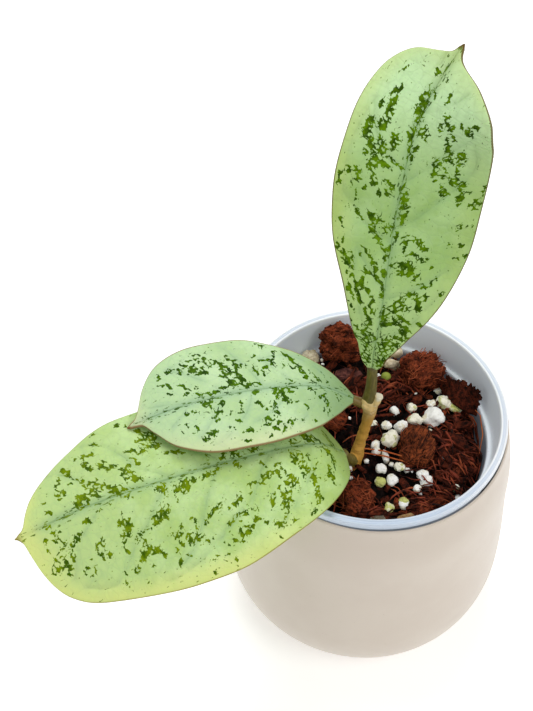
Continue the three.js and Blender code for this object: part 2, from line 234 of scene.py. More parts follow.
# Points of a cubic curve between two ends, without its first point
def bend(start, pullA, pullB, end, steps):
    points = []
    for i in range(1, steps + 1):
        t = i / steps
        weights = [(1 - t) ** 3, 3 * t * (1 - t) ** 2, 3 * t * t * (1 - t), t ** 3]
        points.append([sum(w * p[k] for w, p in zip(weights, (start, pullA, pullB, end))) for k in (0, 1)])
    return points


# An outline from plain points and curves, each curve as two pulls, an end and a number of steps
def outlined(parts):
    outline = []
    for part in parts:
        outline += [part] if len(part) == 2 else bend(outline[-1], *part)
    return outline


# A round solid from its outline, given as radius and height from the axis back to the axis
def turned(outline, steps):
    bm = bmesh.new()
    verts = [bm.verts.new((radius, 0, height)) for radius, height in outline]
    edges = [bm.edges.new(pair) for pair in zip(verts, verts[1:])]
    bmesh.ops.spin(bm, geom=verts + edges, cent=(0, 0, 0), axis=(0, 0, 1), angle=2 * math.pi, steps=steps,
                   use_merge=True)
    bmesh.ops.remove_doubles(bm, verts=bm.verts, dist=outlineWeld)
    bmesh.ops.recalc_face_normals(bm, faces=bm.faces)
    return bm


# A smooth curve through points, as evenly spaced points along it
def curveThrough(points, count):
    points = np.array(points, float)
    ends = np.vstack([2 * points[0] - points[1], points, 2 * points[-1] - points[-2]])
    fine = []
    for i in range(len(points) - 1):
        a, b, c, d = ends[i:i + 4]
        for t in np.arange(0, 1, 0.02):
            fine.append(0.5 * (2 * b + (c - a) * t + (2 * a - 5 * b + 4 * c - d) * t ** 2
                               + (3 * b - a - 3 * c + d) * t ** 3))
    fine = np.array(fine + [points[-1]])
    length = np.concatenate([[0], np.cumsum(np.linalg.norm(np.diff(fine, axis=0), axis=1))])
    at = np.linspace(0, length[-1], count)
    return np.column_stack([np.interp(at, length, fine[:, k]) for k in range(points.shape[1])]), length[-1]


# A closed rod along a curve, its radius read off stops of [share of the way, radius]
def rod(points, stops, around, steps):
    line = [Vector(p) for p in curveThrough(points, steps + 1)[0]]
    bm = bmesh.new()
    ring = bmesh.ops.create_circle(bm, segments=around, radius=1)["verts"]
    edges = list(bm.edges)
    corners = [v.co.copy() for v in ring]
    shares, radii = zip(*stops)
    side = Vector((1, 0, 0))
    for i, point in enumerate(line):
        ahead = (line[min(i + 1, steps)] - line[max(i - 1, 0)]).normalized()
        side = (side - ahead * side.dot(ahead)).normalized()
        other = ahead.cross(side)
        radius = float(np.interp(i / steps, shares, radii))
        if i > 0:
            made = bmesh.ops.extrude_edge_only(bm, edges=edges)["geom"]
            ring = [g for g in made if isinstance(g, bmesh.types.BMVert)]
            newEdges = [g for g in made if isinstance(g, bmesh.types.BMEdge)]
            edges = [g for g in newEdges if all(v in ring for v in g.verts)]
        for vert, corner in zip(ring, corners):
            vert.co = point + side * corner.x * radius + other * corner.y * radius
    bmesh.ops.holes_fill(bm, edges=[e for e in bm.edges if e.is_boundary], sides=0)
    bmesh.ops.recalc_face_normals(bm, faces=bm.faces)
    return bm


# Adds one shape's mesh to another's
def pour(source, target):
    mesh = meshFrom("part", source)
    target.from_mesh(mesh)
    bpy.data.meshes.remove(mesh)


# Moves a mesh's points along their normals by a function of their place, in millimetres
def roughen(mesh, push):
    normals = [v.normal.copy() for v in mesh.vertices]
    for vert, normal in zip(mesh.vertices, normals):
        vert.co = vert.co + normal * push(worldToNursery @ vert.co) * mm
    mesh.update()


# Cover pot: a barrel with a wide round into its base, a soft shoulder and a rounded lip

coverLook = {
    "glaze": paint(211, 199, 184),
    "shade": paint(204, 190, 175),
    "speck": paint(176, 158, 138),
    "base": 35.5, "recess": 0.8, "belly": [51.4, 27], "shoulder": [48.4, 72], "lip": [44.9, 93.2],
    "wall": 4.5, "floor": 6.5, "floorEdge": 32, "mouth": 44.3, "throat": 74, "steps": 160,
    # The two pulls of each long curve, up the outside and then down the inside
    "toBelly": ([48.5, 0.8], [51.4, 16]), "toShoulder": ([51.2, 44], [48.8, 58]),
    "toLip": ([47.8, 82.5], [45.7, 88]), "toInside": ([45.1, 58], [46.9, 42]),
    "toFloor": ([47, 12], [42, 6.5]),
}


def creamGlaze():
    finish = Finish("creamGlaze")
    spot = finish.place()
    cloud = finish.patches(spot, 0.05, 3, 0.35, 0.65)
    colour = finish.blend(cloud * 0.4, coverLook["glaze"], coverLook["shade"])
    specks = finish.fall(finish.cells(spot, 0.55), 0.05, 0.13)
    rare = finish.patches(spot, 0.3, 2, 0.55, 0.62)
    colour = finish.blend(specks * rare * 0.55, colour, coverLook["speck"])
    skin = finish.noise(spot, 0.9, 4, 0.6)
    roughness = 0.3 + 0.12 * finish.noise(spot, 0.2, 3)
    return finish.shade(colour, roughness, finish.bump(skin, 0.06, 0.5), Coat_Weight=0.25,
                        Coat_Roughness=0.3)


def coverPot():
    look = coverLook
    base, recess, floor = look["base"], look["recess"], look["floor"]
    belly, lip, mouth = look["belly"], look["lip"], look["mouth"]
    innerBelly = [belly[0] - look["wall"], belly[1] + 2]
    # Small offsets round off the foot ring and the lip
    outline = outlined([
        [0, recess], [base - 4, recess], [base - 3, 0], [base, 0],
        (*look["toBelly"], belly, 24),
        (*look["toShoulder"], look["shoulder"], 14),
        (*look["toLip"], [lip[0] + 0.3, lip[1] - 0.6], 14),
        ([lip[0] + 0.15, lip[1] - 0.1], [lip[0], lip[1] + 0.1], [mouth + 0.3, lip[1]], 4),
        ([mouth + 0.1, lip[1]], [mouth, lip[1] - 0.2], [mouth, lip[1] - 0.8], 3),
        [mouth, look["throat"]],
        (*look["toInside"], innerBelly, 8),
        (*look["toFloor"], [look["floorEdge"], floor], 10),
        [0, floor],
    ])
    asPiece("coverPot", turned(outline, look["steps"]), coverPlace, creamGlaze(),
            ["cover_pot"])


coverPot()
print("cover pot turned")


# Nursery pot: thin milky plastic with a rolled rim, a stacking ledge and eight drain holes

nurseryLook = {
    # lip is a painted highlight on the rim's top
    "plastic": paint(232, 239, 248), "lip": paint(252, 253, 255),
    # deep, front and groove are painted shade: below the ledge, on the front side and in the rim's groove
    "deep": paint(66, 78, 90), "front": paint(170, 186, 204), "groove": paint(168, 184, 206),
    "dirt": paint(120, 84, 58),
    "collarTop": 42.5, "ledgeDepth": 14, "ledgeOuter": 41.5, "ledgeInner": 40, "rim": 45,
    "wall": 0.9, "depth": 80, "floor": 30.5, "skirt": 2.5, "steps": 144,
    "holes": 8, "holeRadius": 3, "holeRing": 22, "sharp": 35,
    # Where colours change: painted shade at the front along y, painted shade in the groove by radius, and
    # by height the painted highlight on the rim's top, the painted shade below the ledge and the dirt
    "frontFade": (-48, -18), "rimFade": (-1.6, -0.9), "deepFade": (-16.4, -14.2),
    "grooveStart": (43.1, 43.4), "grooveEnd": (44.2, 44.45),
    "dirtStart": (-24, -18), "dirtEnd": (-16, -9),
}


def milkyPlastic():
    finish = Finish("milkyPlastic")
    look = nurseryLook
    spot = finish.place(nurseryCentre)
    height = finish.axis(spot, "Z")
    cloud = finish.noise(spot, 0.08, 2)
    # Painted shade: the front side is darkened toward the grey front colour
    front = finish.fall(finish.axis(spot, "Y"), *look["frontFade"])
    level = finish.add("VectorMath", {"operation": "MULTIPLY"}, {0: spot, 1: (1, 1, 0)})
    radius = finish.add("VectorMath", {"operation": "LENGTH"}, {0: level}, "Value")
    onRim = finish.rise(height, *look["rimFade"])
    # Painted shade in the groove on the rim's top
    groove = finish.rise(radius, *look["grooveStart"]) * finish.fall(radius, *look["grooveEnd"]) * onRim
    # Painted highlight: the rim's top is lightened toward the near-white lip colour
    colour = finish.blend(onRim * 0.55, look["plastic"], look["lip"])
    colour = finish.blend(front * 0.8, colour, look["front"])
    colour = finish.blend(groove * 0.5, colour, look["groove"])
    # Painted shade on the walls below the stacking ledge, darkened toward the deep blue-grey
    colour = finish.blend(finish.fall(height, *look["deepFade"]) * 0.85, colour, look["deep"])
    # A faint random mottle toward the same painted-shade front colour
    colour = finish.blend(cloud * 0.1, colour, look["front"])
    near = finish.fall(height, *look["dirtEnd"]) * finish.rise(height, *look["dirtStart"])
    spots = finish.patches(spot, 1.1, 5, 0.62, 0.68, 0.7)
    colour = finish.blend(spots * near * 0.85, colour, look["dirt"])
    ripples = finish.noise(finish.place(nurseryCentre, scale=(1, 1, 6)), 0.25, 3)
    # The plastic also glows faintly in its own colour: painted light
    return finish.shade(colour, 0.33, finish.bump(ripples, 0.05, 0.4), Subsurface_Weight=0.15,
                        Subsurface_Radius=(0.004, 0.004, 0.005), Subsurface_Scale=0.6,
                        Emission_Color=colour, Emission_Strength=0.1)


def nurseryPot():
    look = nurseryLook
    rim, skirt, wall, depth = look["rim"], look["skirt"], look["wall"], look["depth"]
    top, ledge, floor = look["collarTop"], look["ledgeDepth"], look["floor"]
    outer, inner = look["ledgeOuter"], look["ledgeInner"]
    # Out over the floor, up the outside, over the rim and its groove, and down the inside
    outline = outlined([
        [0, -depth], [floor - 0.6, -depth], [floor, -depth + 0.5],
        [inner + wall, -ledge - 0.8], [outer + wall, -ledge - 0.4], [top + wall - 0.3, -1.1],
        [rim - 0.8, -1.1], [rim - 0.72, -skirt], [rim - 0.3, -skirt - 0.05],
        ([rim, -skirt], [rim, -skirt + 0.1], [rim, -2.1], 3),
        ([rim, -0.6], [rim + 0.05, -0.1], [rim - 0.25, 0], 6),
        ([rim - 0.5, 0.08], [rim - 0.6, -0.22], [rim - 0.8, -0.28], 4),
        [top + 1.1, -0.28],
        ([top + 0.85, -0.28], [top + 0.75, 0.05], [top + 0.5, 0.02], 4),
        ([top + 0.2, 0], [top + 0.02, -0.2], [top, -0.7], 4),
        [outer + 0.05, -ledge + 0.9],
        ([outer, -ledge + 0.3], [outer - 0.2, -ledge], [inner + 0.5, -ledge], 5),
        ([inner + 0.1, -ledge], [inner, -ledge - 0.1], [inner - 0.05, -ledge - 0.6], 3),
        [floor - wall, -depth + wall + 0.5], [floor - wall - 0.6, -depth + wall], [0, -depth + wall],
    ])
    bm = turned(outline, look["steps"])
    pot = asPiece("nurseryPot", bm, nurseryPlace, milkyPlastic(), ["nursery_pot"])
    cutters = bmesh.new()
    for i in range(look["holes"]):
        angle = (i + 0.5) * 2 * math.pi / look["holes"]
        spot = (look["holeRing"] * math.cos(angle), look["holeRing"] * math.sin(angle), -depth)
        bmesh.ops.create_cone(cutters, cap_ends=True, segments=32, radius1=look["holeRadius"],
                              radius2=look["holeRadius"], depth=4, matrix=Matrix.Translation(spot))
    bmesh.ops.transform(cutters, matrix=nurseryPlace, verts=cutters.verts)
    cutter = bpy.data.objects.new("drainCutters", meshFrom("drainCutters", cutters))
    link(cutter)
    cut = pot.modifiers.new("drains", "BOOLEAN")
    cut.operation = "DIFFERENCE"
    cut.object = cutter
    settle(pot)
    bpy.data.objects.remove(cutter)
    pot.data.shade_smooth()
    pot.data.set_sharp_from_angle(angle=math.radians(look["sharp"]))


nurseryPot()
print("nursery pot turned and drilled")


# The mix: a dark crumbly root ball under bark, husk, fibres and perlite

mixLook = {
    # gap is near-black painted shade between the crumbs; crumb and bright are the soil's own colours
    "gap": paint(5, 3, 2), "crumb": paint(24, 11, 8), "bright": paint(70, 30, 18),
    "wallLevel": -19.5, "mound": 5.5, "topRadius": 39.2, "rings": 74, "steps": 220, "seed": 11,
    # A heap at the back and a hollow at the right: centre, height and breadth squared
    "heaps": [(-12, 28, 5, 260), (38, 4, -5, 40)],
    "ripple": 0.6, "sink": 0.8, "side": [34.3, -50], "foot": 29.2, "clearance": 0.3,
    # The crumbs' depth, their limits down and up, and the edge strip where they die out
    "crumbDepth": 2.4, "crumbLow": -2.6, "crumbHigh": 1.5, "edge": 3,
}


def soilTop(x, y):
    share = math.hypot(x, y) / nurseryLook["ledgeInner"]
    level = mixLook["wallLevel"] + mixLook["mound"] * (1 - share ** 2.5)
    for u, v, height, breadth in mixLook["heaps"]:
        level += height * math.exp(-((x - u) ** 2 + (y - v) ** 2) / breadth)
    ripples = math.sin(x * 0.62 + 1.3) * math.cos(y * 0.55 - 0.4) + 0.7 * math.sin(x * 1.07 - y * 0.83)
    return level + mixLook["ripple"] * ripples


def darkMix():
    finish = Finish("darkMix")
    spot = finish.place()
    lumps = finish.noise(spot, 0.55, 6, 0.7, 0.4)
    # Noise lumps part the painted shade in the gaps from the soil's own dark crumbs
    colour = finish.blend(finish.rise(lumps, 0.42, 0.6), mixLook["gap"], mixLook["crumb"])
    red = finish.patches(spot, 0.9, 4, 0.55, 0.68, 0.6)
    colour = finish.blend(red * 0.7, colour, mixLook["bright"])
    relief = finish.noise(spot, 1.6, 5, 0.7)
    return finish.shade(colour, 0.85, finish.bump(relief, 0.6, 0.8), Specular_IOR_Level=0.12)


def soilBody():
    look = mixLook
    rings, top, level = look["rings"], look["topRadius"], look["wallLevel"]
    bottom = -nurseryLook["depth"] + nurseryLook["wall"] + look["clearance"]
    outline = [[top * i / rings, level] for i in range(rings + 1)]
    outline += [look["side"], [look["foot"], bottom], [0, bottom]]
    bm = turned(outline, look["steps"])
    for vert in bm.verts:
        if vert.co.z > level - 0.1:
            x, y = vert.co.x, vert.co.y
            crumb = look["crumbDepth"] * (noise.fractal(Vector((x, y, 0)) * 0.35, 0.9, 2.1, 5) - 0.1)
            crumb = max(look["crumbLow"], min(look["crumbHigh"], crumb))
            edge = min(1, (top + 0.2 - math.hypot(x, y)) / look["edge"])
            vert.co.z = soilTop(x, y) - look["sink"] + edge * crumb
    asPiece("soilMix", bm, nurseryPlace, darkMix(), ["soil_mix"])


soilBody()
print("root ball filled")


# Husk, bark and stones: each starts from its solid, gets finer and roughens

huskKinds = {
    "husk": {"dark": paint(40, 14, 8), "light": paint(150, 70, 41), "rough": 0.95, "grain": 1.0},
    "huskDark": {"dark": paint(15, 5, 3), "light": paint(100, 41, 24), "rough": 0.9, "grain": 0.8},
    "bark": {"dark": paint(34, 12, 7), "light": paint(164, 82, 44), "rough": 0.8, "grain": 1.5},
    "slab": {"dark": paint(48, 22, 22), "light": paint(112, 66, 58), "rough": 0.8, "grain": 0.7},
    "pebble": {"dark": paint(84, 76, 64), "light": paint(138, 126, 108), "rough": 0.7, "grain": 0.2},
    "tan": {"dark": paint(128, 92, 58), "light": paint(196, 160, 112), "rough": 0.75, "grain": 0.4},
    "ivory": {"dark": paint(188, 170, 138), "light": paint(232, 220, 194), "rough": 0.7, "grain": 0.25},
}

# Each piece: its finish, its fibre direction and tilt in degrees, its roughness in mm, the cut from
# which it is smoothed (0 is roundest), how much its ends narrow, how much thicker it gets, how many
# loose hairs it has, and its slot
blocks = {
    "husk_block_back": ["husk", 16, 20, 3, 2, 0, 0.7, 60, "coir_husk"],
    "husk_round_back": ["husk", 35, 20, 2.6, 1, 0.2, 0.7, 220, "coir_husk"],
    "husk_flake_right": ["huskDark", -36, 30, 1.2, 2, 0, 0.3, 30, "coir_husk"],
    "bark_oval": ["bark", 60, 8, 1.6, 0, 0.85, 1.5, 14, "red_bark"],
    "husk_front": ["husk", -40, 15, 2.6, 2, 0.1, 0.4, 90, "coir_husk"],
    "bark_slab_back": ["slab", 6, 8, 0.9, 2, 0, 0.2, 0, "red_bark"],
    "bark_slab_left": ["husk", -30, 8, 1.2, 2, 0, 0.2, 20, "red_bark"],
    "husk_strip_right": ["huskDark", 6, 0, 0.8, 2, 0, 0.2, 12, "coir_husk"],
    "husk_strip_low": ["huskDark", -42, 0, 0.8, 2, 0, 0.2, 12, "coir_husk"],
    "husk_strip_wall": ["husk", 62, 0, 0.8, 2, 0, 0.2, 12, "coir_husk"],
    "husk_strip_front": ["husk", 32, 0, 0.8, 2, 0, 0.2, 12, "coir_husk"],
    "husk_chip_left": ["huskDark", 40, 0, 1, 2, 0, 0.2, 10, "coir_husk"],
    "husk_chip_hidden": ["husk", -15, 0, 1, 2, 0, 0.2, 0, "coir_husk"],
    "bark_chip_back": ["huskDark", 35, 0, 1, 2, 0, 0.2, 0, "red_bark"],
    "pebble_front": ["pebble", 18, 0, 0.6, 1, 0, 0.4, 0, "grey_pebble"],
    "chip_tan_front": ["tan", 22, 0, 0.6, 1, 0, 0.4, 0, "tan_chip"],
    "pebble_ivory": ["ivory", 10, 0, 0.6, 1, 0, 0.4, 0, "ivory_pebble"],
}


# A fibrous finish whose grain runs along a heading
def grainFinish(name, kind, heading, tilt):
    look = huskKinds[kind]
    finish = Finish(name)
    turn = (0, math.radians(tilt), math.radians(heading))
    strands = finish.noise(finish.place(turn=turn, scale=(0.1, 1.5, 1.5)), 1.0, 4, 0.65, 0.8)
    spot = finish.place()
    crumbs = finish.noise(spot, 0.45, 6, 0.75)
    grain = look["grain"]
    mix = finish.rise(strands * grain * 0.5 + crumbs * (1 - grain * 0.5), 0.4, 0.6)
    colour = finish.blend(mix, look["dark"], look["light"])
    worn = finish.patches(spot, 0.13, 3, 0.47, 0.6, 0.6)
    colour = finish.blend(worn * grain * 0.34, colour, look["dark"])
    relief = strands * grain + crumbs * 0.6
    return finish.shade(colour, look["rough"], finish.bump(relief, 0.5, 0.9), Specular_IOR_Level=0.12)


# A finer copy of a node's own solid, smoothed after each cut from the given one on
def finerCopy(node, cuts, start):
    bm = bmesh.new()
    bm.from_mesh(frame["nodes"][node].data)
    bmesh.ops.remove_doubles(bm, verts=bm.verts, dist=solidWeld)
    for i in range(cuts):
        bmesh.ops.subdivide_edges(bm, edges=bm.edges, cuts=1, use_grid_fill=True)
        bmesh.ops.triangulate(bm, faces=bm.faces)
        if i >= start:
            smooth(bm, 0.5)
    return bm


# Narrows a shape toward its two ends along a heading
def pinch(bm, heading, amount):
    axis = Vector((math.cos(math.radians(heading)), math.sin(math.radians(heading)), 0))
    centre = sum((v.co for v in bm.verts), Vector()) / len(bm.verts)
    reach = max(abs((v.co - centre).dot(axis)) for v in bm.verts)
    for vert in bm.verts:
        away = vert.co - centre
        ahead = away.dot(axis)
        vert.co = centre + axis * ahead + (away - axis * ahead) * (1 - amount * (ahead / reach) ** 2)


def blockPiece(node, kind, heading, tilt, coarse, start, narrow, growth):
    bm = finerCopy(node, 4, start)
    pinch(bm, heading, narrow)
    name = pieceName(node)
    material = grainFinish(name + "Finish", kind, heading, tilt)
    piece = asPiece(name, bm, inFrame, material, [node])
    turn = Matrix.Rotation(-math.radians(heading), 3, "Z")

    def push(spot):
        along = turn @ spot
        strands = noise.fractal(Vector((along.x * 0.15, along.y * 0.8, along.z * 0.8)), 0.7, 2.1, 3)
        lumps = noise.fractal(spot * 0.16, 0.7, 2.3, 5)
        return growth + coarse * (0.8 * lumps + 0.35 * strands)

    roughen(piece.data, push)
    return piece


# Hairs in mm: how far their heading strays in degrees, and how high they start over the piece
hairLook = {
    "stray": 38, "climb": (-0.3, 0.3), "length": (2.5, 5.5), "lift": (-0.3, 0.5), "sway": (-1.2, 1.2),
    "above": 0.1, "radius": (0.08, 0.18), "points": 6, "seed": 23,
}


# Shares of the way along a strand, from -0.5 to 0.5, each with the height of an arch there
def archSteps(count):
    for i in range(count):
        share = i / (count - 1) - 0.5
        yield share, 1 - (2 * share) ** 2


# Loose hairs lying on a piece, most along its own fibres
def hairsOn(piece, heading, count, chance):
    look = hairLook
    hairs = []
    for _ in range(count):
        face = piece.data.polygons[chance.randrange(len(piece.data.polygons))]
        normal = face.normal.copy()
        turn = math.radians(heading + chance.gauss(0, look["stray"]))
        run = Vector((math.cos(turn), math.sin(turn), chance.uniform(*look["climb"])))
        run = (run - normal * run.dot(normal)).normalized()
        length = chance.uniform(*look["length"])
        lift = chance.uniform(*look["lift"])
        start = worldToNursery @ face.center
        sway = normal.cross(run) * chance.uniform(*look["sway"])
        points = []
        for share, arch in archSteps(look["points"]):
            rise = normal * (look["above"] + lift * (share + 0.5) ** 2)
            points.append(start + run * share * length + sway * arch + rise)
        hairs.append((points, chance.uniform(*look["radius"])))
    return hairs


hairs = []
hairChance = random.Random(hairLook["seed"])
for node, (kind, heading, tilt, coarse, start, narrow, growth, hairCount, slotName) in blocks.items():
    piece = blockPiece(node, kind, heading, tilt, coarse, start, narrow, growth)
    hairs += hairsOn(piece, heading, hairCount, hairChance)
print("husk, bark and stones roughened")


# Perlite: pitted foamy grains, some greened by algae

# The pit colours are painted shade in the grains' hollows
perliteKinds = {
    "perlite_white": {"face": paint(255, 254, 250), "pit": paint(214, 208, 194),
                      "stain": paint(236, 226, 198)},
    "perlite_cream": {"face": paint(250, 246, 228), "pit": paint(206, 196, 156),
                      "stain": paint(190, 192, 112)},
    "perlite_green": {"face": paint(200, 202, 118), "pit": paint(118, 122, 50),
                      "stain": paint(232, 228, 196)},
}
# Shares of a grain's size: its growth and the depth of its lumps, and how many lumps cross it
perliteLook = {"growth": 0.08, "depth": 0.24, "lumps": 1.2}


def perliteFinish(slotName):
    look = perliteKinds[slotName]
    finish = Finish(pieceName(slotName) + "Finish")
    spot = finish.place()
    stain = finish.patches(spot, 0.3, 2, 0.54, 0.6)
    colour = finish.blend(stain * 0.8, look["face"], look["stain"])
    # Painted shade: the pits are darkened toward the pit colour
    pits = finish.fall(finish.cells(spot, 1.3), 0.06, 0.22)
    colour = finish.blend(pits * 0.45, colour, look["pit"])
    return finish.shade(colour, 0.8, finish.bump(finish.noise(spot, 1.2, 3) * 0.6 - pits, 0.12, 0.7))


perliteFinishes = {slotName: perliteFinish(slotName) for slotName in perliteKinds}
perliteWhite = perliteFinishes["perlite_white"]
nodeSlots = {part["node"]: part["material_slot"] for part in frame["record"]["subparts"]}


def perliteGrain(node):
    look, slotName = perliteLook, nodeSlots[node]
    piece = asPiece(pieceName(node), finerCopy(node, 3, 1), inFrame, perliteFinishes[slotName],
                    [node])
    size = max(piece.dimensions) / mm

    def push(spot):
        lumps = noise.fractal(spot * (look["lumps"] / size), 1, 2.2, 4)
        return look["growth"] * size + look["depth"] * size * lumps

    roughen(piece.data, push)


for node in sorted(n for n in frame["nodes"] if n.startswith("perlite_")):
    perliteGrain(node)
print("perlite pitted")


# Loose bits over the mix: fibres, strips and crumbs

litterLook = {
    "fibres": 150, "strips": 40, "crumbs": 100, "flecks": 22, "reach": 38.6,
    # Fibre colours, dark and light
    "dull": (paint(34, 11, 6), paint(148, 65, 43)), "warm": (paint(94, 35, 19), paint(168, 84, 50)),
    "bright": (paint(176, 84, 40), paint(206, 116, 62)),
    # Length, lift and radius of single fibres, and of those in tangles, whose headings stray
    "single": ((5, 15), (0.2, 2.2), (0.1, 0.3)),
    "tangled": ((6, 15), (0.6, 4.2), (0.14, 0.42)), "stray": 34,
    # Points in a fibre, its bow as a share of its length, how deep its ends sink and how it wavers
    "points": 7, "bow": 0.25, "sink": 0.3, "waver": 0.25,
    # Tangles: centre, spread, heading in degrees, fibres and strips
    "tangles": [(30, -4, 8, -38, 44, 15), (26, -16, 8, -35, 44, 15), (6, 19, 7, 20, 36, 16),
                (19, -27, 7, 10, 26, 14), (-9, 14, 6, 25, 24, 12), (33, 7, 3.5, -60, 14, 6),
                (-2, -31, 6, -10, 16, 10), (-22, 12, 7, 40, 16, 10)],
    # Bare places: centre and radius, and the share of litter that lands in them all the same
    "bare": [(0, -16, 9), (16, -20, 5), (7, 7, 6), (9, -9, 5), (20, 6, 4)], "stays": 0.15,
    "fibreReach": 36, "crumbReach": 36.5,
}
draw = random.Random(mixLook["seed"])


def fibreFinish(name, dark, light):
    finish = Finish(name)
    spot = finish.place()
    colour = finish.blend(finish.patches(spot, 0.22, 3, 0.4, 0.6), dark, light)
    relief = finish.noise(spot, 2.5, 3)
    return finish.shade(colour, 0.7, finish.bump(relief, 0.1, 0.5), Specular_IOR_Level=0.2)


# A place on the mix, seldom a bare one
def randomSpot(reach):
    look = litterLook
    while True:
        radius = reach * math.sqrt(draw.random())
        turn = draw.uniform(0, 2 * math.pi)
        x, y = radius * math.cos(turn), radius * math.sin(turn)
        covered = all(math.hypot(x - u, y - v) > bare for u, v, bare in look["bare"])
        if covered or draw.random() < look["stays"]:
            return x, y


# A place drawn back to within a reach of the middle
def drawnBack(x, y, reach):
    limit = min(1, reach / math.hypot(x, y))
    return x * limit, y * limit


# Many thin strands as one mesh: each a list of points with a radius
def strandPiece(name, strands, material):
    curve = bpy.data.curves.new(name, "CURVE")
    curve.dimensions = "3D"
    curve.bevel_depth = 1.0
    curve.bevel_resolution = 0
    curve.use_fill_caps = True
    for points, radius in strands:
        spline = curve.splines.new("POLY")
        spline.points.add(len(points) - 1)
        for i, point in enumerate(points):
            spot = nurseryPlace @ Vector(point)
            spline.points[i].co = (*spot, 1)
            taper = 0.55 + 0.45 * math.sin(math.pi * (i + 0.5) / len(points))
            spline.points[i].radius = radius * taper * mm
    holder = bpy.data.objects.new(name + "Curve", curve)
    link(holder)
    graph = bpy.context.evaluated_depsgraph_get()
    mesh = bpy.data.meshes.new_from_object(holder.evaluated_get(graph))
    mesh.name = name
    bpy.data.objects.remove(holder)
    bpy.data.curves.remove(curve)
    dress(bpy.data.objects.new(name, mesh), [material])


def strandFrom(x, y, heading, length, lift, radius):
    look = litterLook
    bow = draw.uniform(-look["bow"], look["bow"]) * length
    points = []
    for share, arch in archSteps(look["points"]):
        px = x + share * length * math.cos(heading) - bow * arch * math.sin(heading)
        py = y + share * length * math.sin(heading) + bow * arch * math.cos(heading)
        px, py = drawnBack(px, py, look["reach"])
        waver = draw.uniform(-look["waver"], look["waver"])
        points.append((px, py, soilTop(px, py) - look["sink"] + lift * arch + waver))
    return points, radius


fibres = []
for _ in range(litterLook["fibres"]):
    x, y = randomSpot(litterLook["fibreReach"])
    turn = draw.uniform(0, 2 * math.pi)
    fibres.append(strandFrom(x, y, turn, *[draw.uniform(*ends) for ends in litterLook["single"]]))
for x, y, spread, heading, count, _ in litterLook["tangles"]:
    for _ in range(count):
        turn = math.radians(heading + draw.gauss(0, litterLook["stray"]))
        px, py = x + draw.gauss(0, spread / 2), y + draw.gauss(0, spread / 2)
        fibres.append(strandFrom(px, py, turn, *[draw.uniform(*ends) for ends in litterLook["tangled"]]))
draw.shuffle(fibres)
dull = fibreFinish("fibreDull", *litterLook["dull"])
warm = fibreFinish("fibreWarm", *litterLook["warm"])
bright = fibreFinish("fibreBright", *litterLook["bright"])
brightFibres = [([(-3.9, -7.3, -12.2), (4, -9, -11.6), (12, -11, -12.6)], 0.34),
                ([(-3.6, -8.9, -12.6), (4, -10.6, -12.2), (11.6, -12.4, -13.2)], 0.3),
                ([(36.5, 10, -13), (37.6, 4, -9), (38.2, -2, -12), (37, -7, -16)], 0.2)]
strandPiece("coirFibresDark", fibres[::2] + fibres[1::4], dull)
strandPiece("coirFibresWarm", fibres[3::4], warm)
strandPiece("huskHairs", hairs, warm)
strandPiece("brightFibres", brightFibres, bright)

# How round a shard's corners are, out of 0.87, and how far its points are pushed about
shardLook = {"round": 0.62, "push": 0.1}


# A small broken block: a cut-up cube with its points pushed about
def shard(target, spot, size, turn):
    bm = bmesh.new()
    bmesh.ops.create_cube(bm, size=1)
    bmesh.ops.subdivide_edges(bm, edges=bm.edges, cuts=1, use_grid_fill=True)
    push = shardLook["push"]
    for vert in bm.verts:
        if vert.co.length > shardLook["round"]:
            vert.co = vert.co * (shardLook["round"] / vert.co.length)
        vert.co += Vector([draw.uniform(-push, push) for _ in range(3)])
    place = Matrix.Translation(spot) @ turn @ Matrix.Diagonal((*size, 1))
    bmesh.ops.transform(bm, matrix=place, verts=bm.verts)
    pour(bm, target)


def tumble():
    heading = Matrix.Rotation(draw.uniform(0, 2 * math.pi), 4, "Z")
    return heading @ Matrix.Rotation(draw.uniform(-0.5, 0.5), 4, "X")


def litter(name, count, smallest, largest, material, sink):
    bm = bmesh.new()
    for _ in range(count):
        x, y = randomSpot(litterLook["crumbReach"])
        size = [draw.uniform(a, b) for a, b in zip(smallest, largest)]
        shard(bm, Vector((x, y, soilTop(x, y) - sink + 0.25 * size[2])), size, tumble())
    asPiece(name, bm, nurseryPlace, material)


crumbRed = grainFinish("crumbRed", "husk", 20, 0)
crumbDark = grainFinish("crumbDark", "huskDark", 60, 0)
litter("huskCrumbs", litterLook["crumbs"], (1.2, 1, 0.8), (4.2, 3, 2.4), crumbRed, 0.2)
litter("darkCrumbs", litterLook["crumbs"], (1.2, 1, 0.8), (4.8, 3.4, 2.4), crumbDark, 0.2)
litter("huskStrips", litterLook["strips"], (5, 0.7, 0.4), (12, 1.8, 0.9), crumbDark, -0.2)


# Strips heaped in the tangles: how far their headings stray in degrees, how far they tilt and roll in
# radians, their sizes and their height over the mix
pileLook = {
    "stray": 20, "tilt": 0.25, "roll": 1, "size": [(7, 15), (1, 2.6), (0.4, 0.9)], "height": (0.4, 2.6),
    "reach": 32,
}


def stripPile():
    look = pileLook
    bm = bmesh.new()
    for x, y, spread, heading, _, count in litterLook["tangles"]:
        for _ in range(count):
            px, py = x + draw.gauss(0, spread / 2), y + draw.gauss(0, spread / 2)
            turn = Matrix.Rotation(math.radians(heading + draw.gauss(0, look["stray"])), 4, "Z")
            turn = turn @ Matrix.Rotation(draw.uniform(-look["tilt"], look["tilt"]), 4, "Y")
            turn = turn @ Matrix.Rotation(draw.uniform(-look["roll"], look["roll"]), 4, "X")
            size = [draw.uniform(*ends) for ends in look["size"]]
            height = soilTop(px, py) + draw.uniform(*look["height"])
            shard(bm, Vector((*drawnBack(px, py, look["reach"]), height)), size, turn)
    asPiece("stripPile", bm, nurseryPlace, crumbDark)


stripPile()


